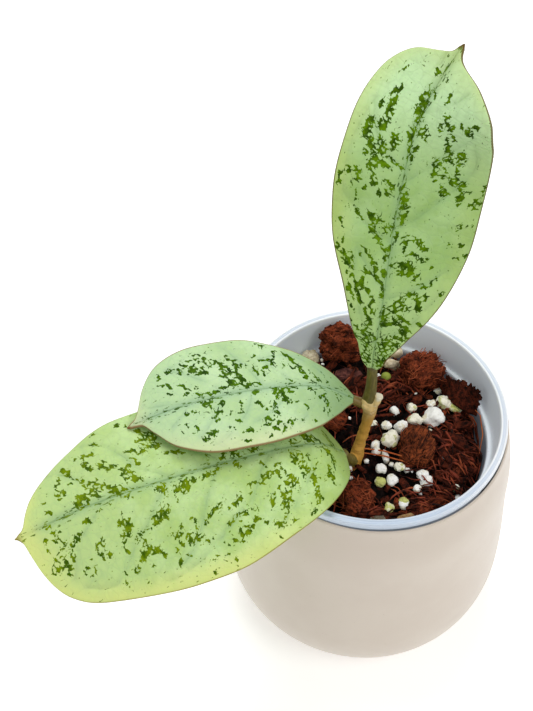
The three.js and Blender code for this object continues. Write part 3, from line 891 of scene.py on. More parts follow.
# The curled bark sheet that leans on the wall, from its four corners
sheetLook = {
    "corners": [(28.2, 16.3, -15), (37.2, 7.3, -13.5), (39, 11, -3.4), (27.6, 22.4, -8.6)],
    "curl": 1.8, "crease": 0.6, "thick": 0.7, "ragged": 0.16, "segments": (60, 36),
}


def barkSheet():
    look = sheetLook
    a, b, c, d = [Vector(p) for p in look["corners"]]
    out = (b - a).cross(d - a).normalized()
    columns, rows = look["segments"]
    bm = bmesh.new()
    bmesh.ops.create_grid(bm, x_segments=columns, y_segments=rows, size=1)
    for vert in bm.verts:
        u, v = (vert.co.x + 1) / 2, (vert.co.y + 1) / 2
        jag = noise.fractal(Vector((u * 9, 2, 0)), 0.8, 2.2, 4)
        side = noise.fractal(Vector((v * 6, 7, 0)), 0.8, 2.2, 4)
        v, u = v * (1 + look["ragged"] * jag), u * (1 + 0.5 * look["ragged"] * side)
        low, high = a + (b - a) * u, d + (c - d) * u
        crease = noise.fractal(Vector((u * 6, v * 1.5, 5)), 0.9, 2.2, 4)
        curl = math.sin(math.pi * u) + 0.9 * v * v * math.sin(2.6 * math.pi * u)
        bow = look["curl"] * curl + look["crease"] * crease
        vert.co = low + (high - low) * v + out * bow
    bmesh.ops.solidify(bm, geom=bm.faces, thickness=look["thick"])
    bmesh.ops.recalc_face_normals(bm, faces=bm.faces)
    asPiece("barkSheet", bm, nurseryPlace, crumbDark)


barkSheet()

# White bits of perlite seen between the larger ones: place and size in mm
whiteBits = [
    (1.5, -4.8, 2.2, 3), (4.6, -9.7, 3.4, 1.6), (-8.5, -13.7, 3.4, 1.5), (-5.1, -9.3, 2.4, 3),
    (8.9, 8.9, 2, 2.6), (3.8, 23.7, 2.6, 2.6), (25.9, 20.7, 3, 1.6), (30, -13.8, 2.4, 2),
    (28.3, -23.8, 2, 2), (17.8, -18.9, 2.8, 3.4), (9.5, -27.4, 2.6, 2.4), (11.6, -14.5, 1.6, 1.4),
    (-2, -12, 1.4, 1.2), (15.5, -22.5, 1.2, 1), (-4, -20, 1.2, 1), (6.5, -12.5, 1.5, 1.2),
    (-7.6, -18, 1.3, 1),
]
bitsLook = {"lift": 0.5, "spread": 1.3, "height": 0.55}


def perliteBits():
    bm = bmesh.new()
    spread = bitsLook["spread"]
    for x, y, wide, deep in whiteBits:
        spot = Vector((x, y, soilTop(x, y) + bitsLook["lift"]))
        size = (wide * spread, deep * spread, (wide + deep) * bitsLook["height"])
        shard(bm, spot, size, tumble())
    asPiece("perliteBits", bm, nurseryPlace, perliteWhite)


perliteBits()

# Small things seen once: place, size in mm, roughness in mm, finish and slot
beadGreen = fibreFinish("beadGreen", paint(98, 116, 30), paint(142, 154, 64))
stoneIvory = grainFinish("stoneIvory", "ivory", 10, 0)
oddments = {
    "algaeBead": [(6.7, 22.7, -11.4), (3.6, 3.4, 3.4), 0.1, beadGreen, "perlite_green"],
    "stemBud": [(-5.6, 13.6, -12), (2, 2, 2.4), 0.1, beadGreen, "perlite_green"],
    "ledgeTab": [(11.6, 39.2, -11.6), (4.8, 2, 3.6), 0.3, perliteWhite, "perlite_white"],
    "backStone": [(9.8, 33, -10.5), (6.5, 4.4, 4.6), 0.9, stoneIvory, "ivory_pebble"],
    "backStoneLow": [(8.9, 28.6, -11.5), (5.5, 3.6, 3.6), 0.8, stoneIvory, "ivory_pebble"],
    "backStoneLeft": [(-20, 32.4, -12.4), (7, 4.6, 4.8), 0.9, stoneIvory, "ivory_pebble"],
}


def oddment(name, spot, size, reach, material, slotName):
    bm = bmesh.new()
    bmesh.ops.create_icosphere(bm, subdivisions=4, radius=0.5)
    bmesh.ops.transform(bm, matrix=Matrix.Translation(spot) @ Matrix.Diagonal((*size, 1)), verts=bm.verts)
    piece = asPiece(name, bm, nurseryPlace, material)
    roughen(piece.data, lambda at: reach * noise.fractal(at * 0.35, 0.9, 2.2, 3))


for name, choices in oddments.items():
    oddment(name, *choices)
litter("perliteFlecks", litterLook["flecks"], (0.7, 0.6, 0.6), (1.5, 1.3, 1.2), perliteWhite,
       -0.3)
print("loose fibres and crumbs scattered")


# Stem: a woody shaft with the cut stub of the old shoot, a callus and a swollen lower node

stemLook = {
    "path": [(-7.6, -15.4, -31), (-6.9, -14, -22), (-5.8, -11.8, -15), (-4.3, -7.7, -8.5), (-3.2, -6.1, -4),
             (-2.2, -4.9, 1), (-1.7, -4.4, 5), (-2.3, -3.6, 10.3)],
    "radii": [[0, 1.9], [0.36, 2], [0.47, 2.3], [0.56, 1.85], [0.74, 1.75], [0.86, 2.1], [0.93, 2.5],
              [1, 2.1]],
    "stub": [(-1.7, -5, 6.5), (-0.2, -4.7, 9.6), (0.8, -4.1, 12.8)],
    "stubRadii": [[0, 1.35], [0.8, 1.35], [1, 1.6]],
    # The callus, the swollen lower node and the crown that the upright leaf's stalk stands on
    "knobs": [((-3.4, -4.9, 8.6), 1.4), ((-6.9, -12, -11.8), 2), ((-2.4, -3.6, 9.6), 2.35)],
    "voxel": 0.22, "ease": 0.5, "easings": 5, "lumps": 0.22, "rings": 0.04,
    "low": paint(158, 104, 32), "middle": paint(206, 156, 68), "high": paint(232, 202, 138),
    "cork": paint(240, 236, 214), "ring": paint(144, 100, 42),
    # Heights over which the colours change, and the stub's side along x
    "toMiddle": (-17, -5), "toHigh": (4, 15), "toCork": (3, 8), "stubTop": (11.2, 12.4),
    "stubSide": (-0.8, 0.3),
}


def woodyFinish():
    finish = Finish("woodyStem")
    look = stemLook
    spot = finish.place(nurseryCentre)
    height = finish.axis(spot, "Z")
    mottle = finish.noise(finish.place(nurseryCentre, scale=(1, 1, 0.45)), 0.7, 4, 0.6)
    colour = finish.blend(finish.rise(height + mottle * 6, *look["toMiddle"]), look["low"], look["middle"])
    colour = finish.blend(finish.rise(height + mottle * 8, *look["toHigh"]), colour, look["high"])
    rings = finish.patches(finish.place(nurseryCentre, scale=(0.12, 0.12, 1)), 0.9, 3, 0.56, 0.7, 0.6)
    colour = finish.blend(rings * 0.5, colour, look["ring"])
    cork = finish.patches(spot, 1.0, 4, 0.58, 0.68, 0.7) * finish.rise(height, *look["toCork"])
    colour = finish.blend(cork * 0.7, colour, look["cork"])
    stubTip = finish.rise(height, *look["stubTop"]) * finish.rise(finish.axis(spot, "X"), *look["stubSide"])
    colour = finish.blend(stubTip * 0.85, colour, look["cork"])
    relief = mottle + rings * 0.5
    return finish.shade(colour, 0.62, finish.bump(relief, 0.3, 0.7), Specular_IOR_Level=0.25)


def woodyStem():
    look = stemLook
    bm = rod(look["path"], look["radii"], 28, 60)
    pour(rod(look["stub"], look["stubRadii"], 20, 12), bm)
    for centre, radius in look["knobs"]:
        ball = bmesh.new()
        bmesh.ops.create_icosphere(ball, subdivisions=3, radius=radius, matrix=Matrix.Translation(centre))
        pour(ball, bm)
    piece = asPiece("woodyStem", bm, nurseryPlace, woodyFinish(), ["stem"])
    fuse = piece.modifiers.new("fuse", "REMESH")
    fuse.mode = "VOXEL"
    fuse.voxel_size = look["voxel"] * mm
    fuse.use_smooth_shade = True
    ease = piece.modifiers.new("ease", "SMOOTH")
    ease.factor = look["ease"]
    ease.iterations = look["easings"]
    settle(piece)

    def push(spot):
        rings = math.sin(spot.z * 1.9 + 2 * noise.noise(spot * 0.3))
        return look["lumps"] * noise.fractal(spot * 0.4, 1, 2.1, 3) + look["rings"] * rings

    roughen(piece.data, push)


woodyStem()

petioleLook = {
    "petiole_upright": {
        "path": [(-2.3, -3.5, 9.6), (-1.9, -2.7, 17), (-2.2, -2.4, 25.6)],
        "radii": [[0, 2.4], [0.25, 1.95], [0.7, 1.7], [1, 1.6]],
        "colour": paint(92, 84, 26), "edge": paint(120, 108, 46)},
    "petiole_middle": {
        "path": [(-3.2, -3.6, 7.6), (-5.6, -3.2, 8.3), (-7.6, -2.9, 9.3)],
        "radii": [[0, 1.9], [0.5, 1.7], [1, 1.5]],
        "colour": paint(120, 98, 40), "edge": paint(148, 126, 66)},
    "petiole_lower": {
        "path": [(-6.9, -12.2, -12.4), (-9, -14, -8.6), (-10.6, -15.2, -3.6)],
        "radii": [[0, 2.2], [0.5, 1.9], [1, 1.6]],
        "colour": paint(104, 92, 34), "edge": paint(140, 126, 62)},
}


def petioleFinish(name, look):
    finish = Finish(name)
    streaks = finish.patches(finish.place(scale=(1.4, 1.4, 0.25)), 1.0, 4, 0.4, 0.75)
    colour = finish.blend(streaks, look["colour"], look["edge"])
    relief = finish.noise(finish.place(), 1.2, 3)
    return finish.shade(colour, 0.45, finish.bump(relief, 0.12, 0.5))


for node, look in petioleLook.items():
    name = pieceName(node)
    bm = rod(look["path"], look["radii"], 24, 24)
    smooth(bm, 0.3)
    asPiece(name, bm, nurseryPlace, petioleFinish(name + "Finish", look), [node])
print("stem and petioles grown")


# Leaves. A place on a blade is given as distance along the midrib and across it, left positive, in mm

leafForms = {
    "leaf_upright": {
        "midrib": [(-2.2, -2.4, 25), (-0.9, 1.1, 49), (3.1, 20, 71), (9, 36.5, 92), (20.9, 47.6, 111)],
        "left": [[0, 1.7], [3, 4], [9, 6.6], [17, 8.4], [30, 12.4], [45, 18], [60, 20.4], [74, 20],
                 [87, 19.4], [93, 17.4], [98, 12.8], [101, 6], [103, 2], [106.5, 0.5]],
        "right": [[0, 1.7], [3, 3.6], [9, 5.6], [17, 9.8], [30, 18.2], [45, 23.4], [60, 24.6], [74, 24.9],
                  [87, 24.2], [93, 21.5], [98, 14], [101, 5], [103, 2], [106.5, 0.5]],
        "roll": [0, 0], "foldLeft": [8, 8], "foldRight": [8, 8], "wave": 0.35, "camber": 0.08,
        "veins": 5, "quilt": 0.4, "seed": 3, "grow": 1.0,
    },
    "leaf_middle": {
        "midrib": [(-7.4, -2.9, 9.2), (-19.1, -3.7, 17), (-39.5, -9, 22), (-61.2, -15, 22),
                   (-79.3, -19.4, 16)],
        "left": [[0, 1.6], [2.5, 4.2], [6.5, 8.8], [12.5, 12.8], [22, 16.3], [33, 18.2], [44, 18.7],
                 [55, 17.2], [64, 12.6], [69.5, 6], [72.5, 2], [75, 1], [78.3, 0.5]],
        "right": [[0, 1.6], [2.5, 2.8], [6.5, 4.6], [12.5, 8.2], [22, 14], [33, 18.2], [44, 19.8],
                  [55, 19.4], [64, 16.6], [69.5, 11], [73, 4.5], [75, 1.8], [78.3, 0.5]],
        "roll": [-10, -12], "foldLeft": [2, 2], "foldRight": [2, 2], "wave": 0.3, "camber": 0.08,
        "veins": 5, "quilt": 0.25, "seed": 5, "grow": 1.03,
    },
    "leaf_lower": {
        "midrib": [(-10.3, -15, -4), (-21.3, -20.6, 9), (-45.6, -28.6, 12), (-67.7, -36.4, 12),
                   (-89.3, -44.6, 11), (-111, -54.6, 8)],
        "left": [[0, 1.8], [3, 8], [9, 13.8], [18, 21], [32, 27.2], [48, 32], [64, 33.2], [80, 31.8],
                 [93, 29.6], [101, 27], [106, 23.4], [109, 19.2], [111, 13.5], [112, 7.5], [112.8, 2.4],
                 [114.3, 0.5]],
        "right": [[0, 1.8], [3, 10], [9, 17.6], [18, 22], [32, 24.8], [48, 26.2], [64, 26.2], [80, 24],
                  [93, 18], [101, 13.4], [106, 9.6], [109, 6], [110.8, 3], [112, 1.6], [114.3, 0.5]],
        "roll": [-6, -13, -19, -21], "foldLeft": [-2, -6, -9], "foldRight": [-4, -9, -9],
        "wave": 0.5, "camber": 0.05,
        "veins": "placed", "quilt": 0.7, "grow": 1.27,
    },
}
bladeGrid = {
    "rows": 300, "columns": 120, "samples": 2001, "thickness": 1.2, "thin": 0.18, "marginRound": 1.1,
    # The run over which the tip is drawn in, and the half width that it is drawn in to
    "tipRun": 1.4, "tipHalf": 0.12,
    # The groove over the midrib and the veins' own, as depths and widths, and the beds between them
    "ribDepth": 0.32, "ribWidth": 1.1, "veinDepth": 0.35, "veinWidth": 0.8, "bedWidth": 3.2,
    "ripples": 26,
    # How many mm the flat maps measure, and how the second one turns and parts its two halves
    "sheet": 400.0, "slant": 52, "apart": 60,
}

# Where the dark splashes lie: along, across, half length, half width, then heading in degrees
# (0 runs along the midrib, 90 to the left) and strength, where they aren't 0 and 1
splashes = {
    "leaf_upright": [
        (96, 2.2, 1.4, 1.1, 20), (95.5, 7, 1.6, 0.6, 60, 0.6), (91.8, 11.6, 2.4, 0.5, -20, 0.8),
        (90, -1.5, 1.4, 0.5, 43), (91, -6.3, 2.1, 0.5), (95.5, -2.3, 1.5, 0.4, 0, 0.6),
        (85.5, 0.8, 6, 1.7, 8), (77, 0.8, 3.2, 1.1), (72.5, 0.3, 3, 0.6), (78.4, -3, 2.3, 1.7, 20),
        (73, -2, 1.2, 0.7), (70.3, -1.3, 1.5, 0.6, 10), (86, 10.2, 2.2, 0.9, -33), (81.6, 9.2, 3.3, 1.4),
        (78.2, 8.6, 1.6, 0.8, 10, 0.8), (82, 12.2, 1.4, 0.9, 10), (77.3, 10, 2, 1, 54),
        (74.2, 4.9, 2.9, 1.5), (75.5, 13.7, 3.1, 1.7), (72.2, 11.4, 2.6, 1.2, 42), (71, 8.2, 2.6, 1.4, 45),
        (73.4, 9, 1.6, 0.7, 20), (68.9, 4.9, 1.8, 0.6, 50), (67.2, 2, 1.7, 0.5, 60),
        (69.8, 12.3, 1.6, 0.9), (68, 9.2, 2.5, 1.4, 15), (66.3, 10.8, 1.6, 1), (67, 6, 2.4, 0.9, 60),
        (64.2, 9.8, 1.5, 0.4), (62, 8.5, 2.1, 1, 15), (59, 6.4, 1.3, 0.5, 20), (63.8, 16.5, 1.2, 1),
        (64.2, 14.2, 0.7, 1.2), (62.2, 13.4, 2.2, 1.2), (60, 14.6, 0.9, 1.8, 0, 0.8), (60, 10.6, 1, 0.5),
        (57, 12.8, 1.6, 0.4, 10), (62.4, 18.8, 1.5, 0.6), (60, 18.6, 1, 0.6, 0, 0.8),
        (61.8, 3.9, 2, 0.8, 55), (59.2, 3.6, 1.6, 1, 60, 0.8), (61.3, -0.5, 1.4, 0.5),
        (58, -1.9, 2.8, 1.5), (85, -8.9, 2.6, 1.2, 15), (81.8, -7.6, 2.3, 0.9, 20),
        (83, -10.8, 2, 0.7, -20), (85.9, -13.9, 1.1, 0.7), (88, -18.5, 2.4, 0.7, -34),
        (85, -16.8, 1.8, 1.4), (80.5, -12.1, 1.5, 0.8, 30), (77.6, -10.7, 1.9, 1, 10),
        (74.7, -11.8, 1.5, 1.3, 30), (74, -15.7, 2.5, 1.5), (72.3, -12.6, 0.9, 2.6),
        (70.5, -9, 1.7, 1.3, 30), (67.6, -8.7, 1.8, 1), (65.5, -9.4, 0.9, 1.3), (67.2, -11.8, 0.6, 2.7),
        (69.2, -11.8, 1.6, 0.5, 50), (66.4, -15.2, 1.7, 2), (69.5, -15.3, 1.8, 0.8), (66, -17.7, 0.8, 1.2),
        (64, -11.8, 0.7, 0.8), (62, -12.7, 1, 1.8), (64, -17.6, 1.5, 0.7, 50), (61.3, -17.7, 2.1, 1),
        (63.8, -19.8, 0.4, 0.8, 0, 0.8), (67, -24.2, 1.5, 0.6, 0, 0.8), (64.6, -23.6, 1.2, 0.5, 0, 0.8),
        (61, -23, 1.3, 1.2), (59.6, -21.4, 1, 1.2), (56, -1.1, 1.2, 0.6), (53.3, -2.3, 2.3, 1.2),
        (51.2, -2.3, 1, 1), (50.3, 0.7, 2.2, 0.5), (50.4, 3.6, 3.2, 0.35, 56), (51.4, 6.8, 3, 0.9, 48),
        (48.4, 2.7, 1.1, 0.5, 45), (52, 11.3, 2.3, 0.7, 40), (48.6, 15.6, 1.8, 0.5, 20),
        (47.6, 6, 2, 1.1, 50), (46, 4.2, 1.6, 0.6, 50), (42.6, 2, 1.7, 0.7, 20), (44.8, 4.2, 2, 0.35, 55),
        (42.5, 0.5, 1.6, 0.4), (43.5, 14.2, 1.2, 0.5, 0, 0.8), (41.8, 15.6, 1, 0.7),
        (38.3, 12.6, 3.4, 1.2, 45), (39, 11.4, 2, 0.8, 10, 0.8), (40.4, 8.8, 1.2, 0.4, 55, 0.8),
        (38.5, 4.7, 3, 0.8, 30), (39.8, 1.4, 1.3, 0.6), (35.6, 1.2, 1.5, 0.5), (35.2, 5.4, 2.4, 0.6, 60),
        (33.6, 2.9, 2.4, 0.7, 40), (31.6, 1.4, 1.5, 0.6, 20), (32.8, 6.9, 2.1, 0.9, 10),
        (31, 7.9, 1.4, 0.9, 50), (33.4, 10.2, 2.6, 0.5, 45), (30.8, 11, 2, 0.6, 20, 0.8),
        (28.6, 9.8, 2.4, 0.5, 30, 0.8), (28, 7.5, 3, 0.5, 35), (26.5, 6.7, 1.2, 0.6, 20),
        (23.4, 4.6, 1.8, 0.8, 20), (20, 3.2, 2.2, 1.1, 10), (26.6, 3.4, 1.2, 0.5), (24.2, 3, 2, 0.5, 30),
        (28.8, 0.7, 1.2, 0.4), (46.8, -1.2, 1.8, 0.4), (45.8, -3.8, 1.7, 1), (46.2, -5.9, 0.5, 1.6),
        (46.1, -8.3, 1.4, 1.5), (44.5, -9.8, 0.9, 1.9), (43.6, -3.9, 1.6, 0.6, 10),
        (48, -5.4, 0.4, 1.6, 0, 0.7), (42, -7.2, 0.9, 1.7), (41.2, -10, 0.9, 1.7), (37.8, -5.6, 2.6, 3.1),
        (38.5, -2.2, 0.8, 2, 0, 0.8), (39.2, -13.6, 0.7, 1.1), (36.3, -14.6, 0.9, 0.4, 0, 0.8),
        (52.8, -19.2, 1.1, 0.9), (54, -21.3, 0.5, 1.6), (47, -17.2, 0.5, 1.2, 0, 0.8),
        (47.3, -20.4, 0.8, 0.8), (44.4, -21.9, 1, 1, 0, 0.8), (43, -19.4, 0.5, 1.8, 0, 0.7),
        (33.2, -11, 0.8, 1.6), (34.3, -13.7, 0.9, 0.9), (27.6, -4.9, 4, 1.3, -44), (30.6, -8.4, 1.2, 1.7),
        (30.2, -12, 1, 2, 40), (29.2, -10.2, 2, 0.7), (27.2, -10.9, 1.5, 1.1), (26.4, -6.8, 0.9, 1.8),
        (22.6, -4.8, 2, 1.2), (22.8, -7.2, 2.6, 0.6, 75), (20.8, -7.4, 3, 0.8, 70),
        (18.8, -8, 2.6, 0.7, 65), (16.6, -7, 1, 2.4), (22.4, -11.9, 0.5, 1.2), (22.5, -1.2, 3.6, 1.2),
        (31.6, -16.8, 1.4, 1, -30, 0.7), (12, 3.5, 5, 2.2, 10, 0.9), (12, -3.5, 5, 2.5, -10, 0.9),
        (5, 2.5, 4, 2, 0, 0.85), (5, -3, 4, 2.5, 0, 0.9), (8.5, -5.2, 2.4, 1, -50),
        (17, 4, 3, 1.4, 20, 0.9), (25, -4, 2.4, 0.7, -55), (14, -6.4, 2, 1, -50), (24.5, 9.2, 2, 0.5, 40),
        (18, 7.4, 2.4, 0.6, 35), (15, 1.4, 2.6, 0.6, 30), (20.4, -2.6, 2, 0.7, -50),
        (35.6, -8.8, 1.6, 0.5, -50),
        (41.6, 7.2, 2, 0.5, 50), (29.6, 4.8, 2, 0.6, 45), (12.6, 6.6, 2, 0.7, 20),
    ],
    "leaf_middle": [
        (50, -16, 2.3, 0.5), (52, -14.4, 2.4, 0.5, -5), (48.4, -12.2, 1.8, 0.7, -52),
        (49.7, -13.6, 1.1, 0.9), (55.6, -13.2, 1.4, 0.8, -30), (57.5, -12.4, 1.6, 0.7, -20),
        (57.3, -10.8, 0.6, 1.1, 30), (61, -13.3, 1.2, 0.4, 10), (60.5, -12.6, 1.2, 0.6, 20),
        (52.6, -12.2, 1.2, 0.5, 30), (51.4, -11, 1, 0.5, 10), (53.7, -10.4, 1.4, 1, 30),
        (50.4, -9.3, 1.8, 0.8, 10), (49, -8.7, 1, 0.7, 30), (50, -10.8, 1.4, 0.5, -15),
        (46.8, -13.2, 0.9, 0.5, 20, 0.8), (46, -12, 1, 0.8, 40), (44.6, -11.4, 1.6, 0.7, -35),
        (43.4, -9.8, 1.4, 0.8, -50), (41.7, -13.2, 0.8, 0.8, 0, 0.8), (40.7, -11.6, 2, 0.5, -12),
        (40, -9.8, 0.9, 1.3), (39.8, -8.4, 0.8, 1.2), (38.3, -9.2, 1.6, 0.8, -12), (37.4, -9.1, 0.7, 0.9),
        (44.2, -9.2, 0.9, 1.2), (43.9, -7.4, 0.8, 1.3), (44.5, -6.2, 1.2, 0.8), (43, -6.8, 1.3, 0.6, 20),
        (42.2, -8.4, 1.9, 0.55, -55), (40.9, -6.6, 1.6, 0.55, -55), (40.4, -4.4, 1.8, 0.6, -60),
        (39.3, -2.6, 1.6, 0.6, -60), (39.7, -5.9, 1.7, 0.5, -55), (38.9, -4, 1.6, 0.6, -50),
        (42.6, -4.6, 2, 0.4, -30), (41.9, -3.2, 2.2, 0.5, -15), (45.3, -2.4, 1.4, 0.5),
        (43.3, -2.4, 1.2, 0.4), (37.5, -1.9, 1.6, 0.5), (35.3, -2.1, 1.2, 0.35), (33.8, -1.9, 0.8, 0.35),
        (34.3, -7.4, 0.7, 1.5, -10), (33.7, -5.6, 0.6, 0.8), (31.6, -6.7, 0.6, 1.4), (30.5, -7.4, 1, 0.5),
        (30, -5.9, 0.35, 1.2), (31.8, -5, 0.4, 0.7, 0, 0.8), (31.8, -16.4, 1.2, 0.3, 0, 0.7),
        (30.2, -15.6, 0.9, 0.7, 30), (33.4, -11.9, 0.7, 0.5, 0, 0.8), (30.6, -10.2, 1.6, 0.5),
        (28.2, -9.2, 2, 0.5, -50), (27.7, -8.8, 0.6, 1.2), (26.6, -12.3, 0.6, 1.6, -20),
        (24.7, -7.7, 0.6, 1.3), (22.9, -11, 2.6, 0.35, -60, 0.8), (21.5, -9.6, 2.8, 0.4, -58),
        (20.5, -8.4, 2.8, 0.4, -58), (19.8, -6, 1.6, 0.7, -60), (18.6, -4, 1.8, 0.7, -60),
        (19.7, -7.4, 1.4, 0.4, -60), (21.8, -6.6, 1.4, 0.4, -40, 0.8), (23.4, -2, 1.8, 0.4, -20, 0.8),
        (15.6, -4.2, 1.6, 0.4, -50, 0.6), (14, -2.2, 2, 0.5, -50, 0.7), (16, -1.2, 1.6, 0.4, -50, 0.7),
        (12.5, -4.5, 1.4, 0.3, -50, 0.6), (11, -2, 1.4, 0.3, -50, 0.6), (63.8, -12.5, 0.9, 0.6),
        (63.6, -10.9, 1, 0.5, 10), (64, -9, 0.7, 0.3, 0, 0.7), (62.4, -8.4, 1.2, 0.5, -20),
        (60.9, -7.2, 1.2, 0.5, -15), (56.8, -5.6, 2, 0.5, -44), (52.9, -5.3, 0.6, 0.4),
        (53.6, -4.3, 0.7, 0.4, 0, 0.8), (53.2, -1.9, 2, 0.5, -10), (57, -3.2, 1, 0.4),
        (62, -5, 1, 0.3, -30, 0.7), (48.7, -1.6, 2, 0.5, -8), (51.7, 1.4, 1.8, 0.9), (50.4, 2.8, 0.8, 1.3),
        (49, 5.2, 1.5, 0.9), (48, 5.2, 0.8, 0.7), (50.4, 6.3, 0.9, 0.8), (50.1, 8.2, 0.7, 1.4),
        (48.8, 8, 0.5, 1), (48.6, 0.6, 2.2, 0.4, -5), (47.2, 2.6, 1.1, 0.6, 30), (47, 3, 0.8, 0.8),
        (58.4, 3.2, 0.8, 0.6), (56, 3.5, 1.2, 0.7, -40), (56.5, 8.8, 0.5, 1), (58, 10, 0.6, 0.4, 0, 0.8),
        (59.5, 7, 0.35, 1, 20, 0.8), (61.2, 9, 0.35, 0.9, 20, 0.8), (55, 13, 1.5, 0.9),
        (52.8, 12, 1.6, 0.7, -30), (51.6, 11.2, 1, 0.6, -30), (41.4, 4.3, 0.6, 0.8),
        (41.2, 6.4, 0.35, 1.1), (42.7, 7, 0.9, 0.6, -20), (45.3, 6.6, 0.5, 1), (43.6, 9.6, 0.9, 0.6, -40),
        (45.9, 11.4, 1.3, 0.5, -20), (41.3, 13.1, 1.3, 0.5), (42.8, 13.4, 0.8, 0.3, 0, 0.8),
        (39.8, 13.9, 0.5, 0.6), (42, 16.5, 1.2, 0.6), (47, 15.4, 0.8, 0.4, 0, 0.8), (40.1, 0.6, 0.9, 0.4),
        (36, 1, 1, 0.4, 10), (36, 4.8, 1.2, 0.7, 20), (35.2, 5.7, 0.6, 0.5), (29, 0.6, 1.2, 0.6),
        (29.5, 2.6, 1.2, 1.3), (27.6, 2.2, 1.3, 1.1), (27.2, 4.4, 1.4, 1.3), (28.8, 4.8, 0.8, 0.6),
        (25.8, 1.2, 1.1, 0.9), (24.2, 1.8, 1.2, 0.6, -30), (22.8, 0.7, 1, 0.4, -30), (25, 5.6, 0.5, 0.6),
        (26.5, 5.9, 0.7, 0.6), (23.3, 6, 0.8, 0.4), (31.2, 5.9, 1.2, 0.8), (30.8, 7.8, 0.9, 0.9),
        (33.7, 7.6, 0.7, 0.6), (30.4, 9.3, 0.6, 1.2), (33.8, 10.8, 1.4, 1), (33.9, 12.4, 0.6, 1),
        (35, 12.4, 1, 0.5), (32.4, 10.8, 0.6, 0.8), (30.8, 12.4, 1, 0.9), (32.2, 14.2, 1.4, 0.7, -30),
        (30.9, 14.8, 1, 0.5, -30), (29.2, 14.2, 0.6, 1.2, 0, 0.8), (27, 12.6, 1.1, 1),
        (26.2, 11.7, 0.8, 0.5), (34.8, 16.2, 0.5, 1.1, 0, 0.8), (33.9, 16.4, 0.4, 0.8, 0, 0.8),
        (20.6, 7.2, 0.7, 0.5), (19.8, 8.1, 0.4, 1), (23, 12.2, 0.7, 0.3, -30, 0.7),
        (22.2, 12.8, 0.5, 0.6, 0, 0.8), (18, 12.4, 0.9, 0.5), (17.4, 1, 1.1, 0.4),
        (16.4, 2.2, 1, 0.5, -40), (12.8, 3.2, 1.1, 1), (14.1, 4.6, 1.2, 0.8, -30),
        (11.6, 5.4, 1.3, 0.7, -40), (11.9, 6.4, 0.8, 0.8), (11, 8.6, 0.5, 1.4, -20),
        (13.6, 8.6, 0.4, 1.2, 0, 0.8), (7.4, 1.9, 1.8, 0.25, -50, 0.6), (6.6, 3.3, 1.8, 0.25, -50, 0.6),
        (5.4, 2.2, 1.6, 0.25, -50, 0.6), (71, -0.8, 1.6, 0.25, -20, 0.6), (70, 0.8, 1.4, 0.25, -20, 0.6),
    ],
    "leaf_lower": [
        (69.5, -18.6, 1, 0.8), (67.3, -16.6, 1.9, 1.2), (65.6, -16.1, 1.2, 1), (66.7, -14.6, 1.6, 0.8),
        (69, -14.9, 1, 0.4), (70.7, -15.4, 0.6, 0.9), (66.8, -12.3, 1.6, 0.8), (65.6, -11.8, 0.8, 0.8),
        (64.8, -14.4, 1, 0.3, -20, 0.8), (69.9, -12.9, 0.6, 1.2), (70.4, -11.3, 1.5, 0.8),
        (73.4, -12.6, 1.2, 0.4, -5), (73.2, -9, 1.6, 0.45, -54), (76.9, -6.1, 1, 1), (75.6, -7.6, 0.5, 1),
        (78.2, -7.5, 1, 0.35, -50), (78.3, -5.9, 0.9, 0.6, 20), (77.3, -3.8, 0.4, 1),
        (75.6, -5.4, 0.8, 0.4), (75.2, -3.6, 1, 0.6, -40), (74.2, -2.6, 1.4, 0.5), (83.4, -10.4, 1, 0.8),
        (82.2, -9.5, 1, 0.6, -30), (81.7, -8.5, 0.6, 0.9), (80.4, -9.5, 1.3, 0.45, -10),
        (82.2, -11.9, 0.5, 0.4), (87.7, -12.7, 1, 0.8, -50), (86.8, -11.3, 1, 0.7, -50),
        (88, -14.6, 0.4, 0.5, 0, 0.8), (89.8, -15.4, 0.6, 0.4), (86.2, -15.6, 1.5, 0.5, -5),
        (85, -15.5, 0.6, 0.8), (83.4, -18.8, 0.7, 0.5), (82, -17.8, 1, 0.25, -40, 0.6),
        (82.5, -22, 0.5, 0.4), (75.4, -22.6, 0.7, 0.4), (72.5, -21.2, 0.3, 0.6), (93.8, -13.7, 0.8, 0.5),
        (92.9, -12.4, 0.9, 0.8, -40), (92.4, -10.4, 0.5, 0.9), (93.6, -8.4, 0.6, 0.4),
        (96.3, -11.6, 0.5, 0.5), (97.1, -10.2, 0.5, 0.6), (97.4, -8.4, 0.4, 0.6), (98.6, -7.2, 0.4, 0.9),
        (97.9, -6.2, 1, 0.4, -50), (96, -6.8, 0.9, 0.5, -30), (90.9, -8.4, 0.9, 0.35, -60),
        (89.8, -8.2, 0.35, 1), (90.2, -6.3, 0.5, 1.4), (88.1, -6.9, 1, 0.35), (88.9, -6, 0.35, 0.8),
        (87.2, -5.6, 0.4, 1.2), (88.2, -4.4, 0.8, 0.6), (87.9, -2.6, 1.4, 0.45, -15),
        (90.9, -3.9, 1.4, 0.4, 8), (92.5, -3.8, 1, 0.5, -40), (91.5, -2.6, 1.6, 0.4, -35),
        (90.6, -1.3, 0.6, 0.5), (94, -2, 0.8, 0.7, -40), (92.8, -2.2, 1, 0.5, -50),
        (93.9, -0.7, 1, 0.4, -50), (92.8, -0.4, 0.8, 0.3, 0, 0.8), (86.4, -3.3, 1.4, 0.35, -3),
        (84.8, -4.4, 0.9, 0.9), (86, -5.6, 1.3, 0.4), (83.3, -3.6, 1.1, 0.4, -30),
        (85.8, -7.2, 0.6, 0.4, 0, 0.8), (82.9, -1.6, 1.6, 0.4, -50), (81.6, -1.9, 0.9, 1.1),
        (81.2, -0.6, 0.5, 1), (79.7, -1.2, 0.5, 1.4), (78.8, -1.2, 1.1, 0.5, -10),
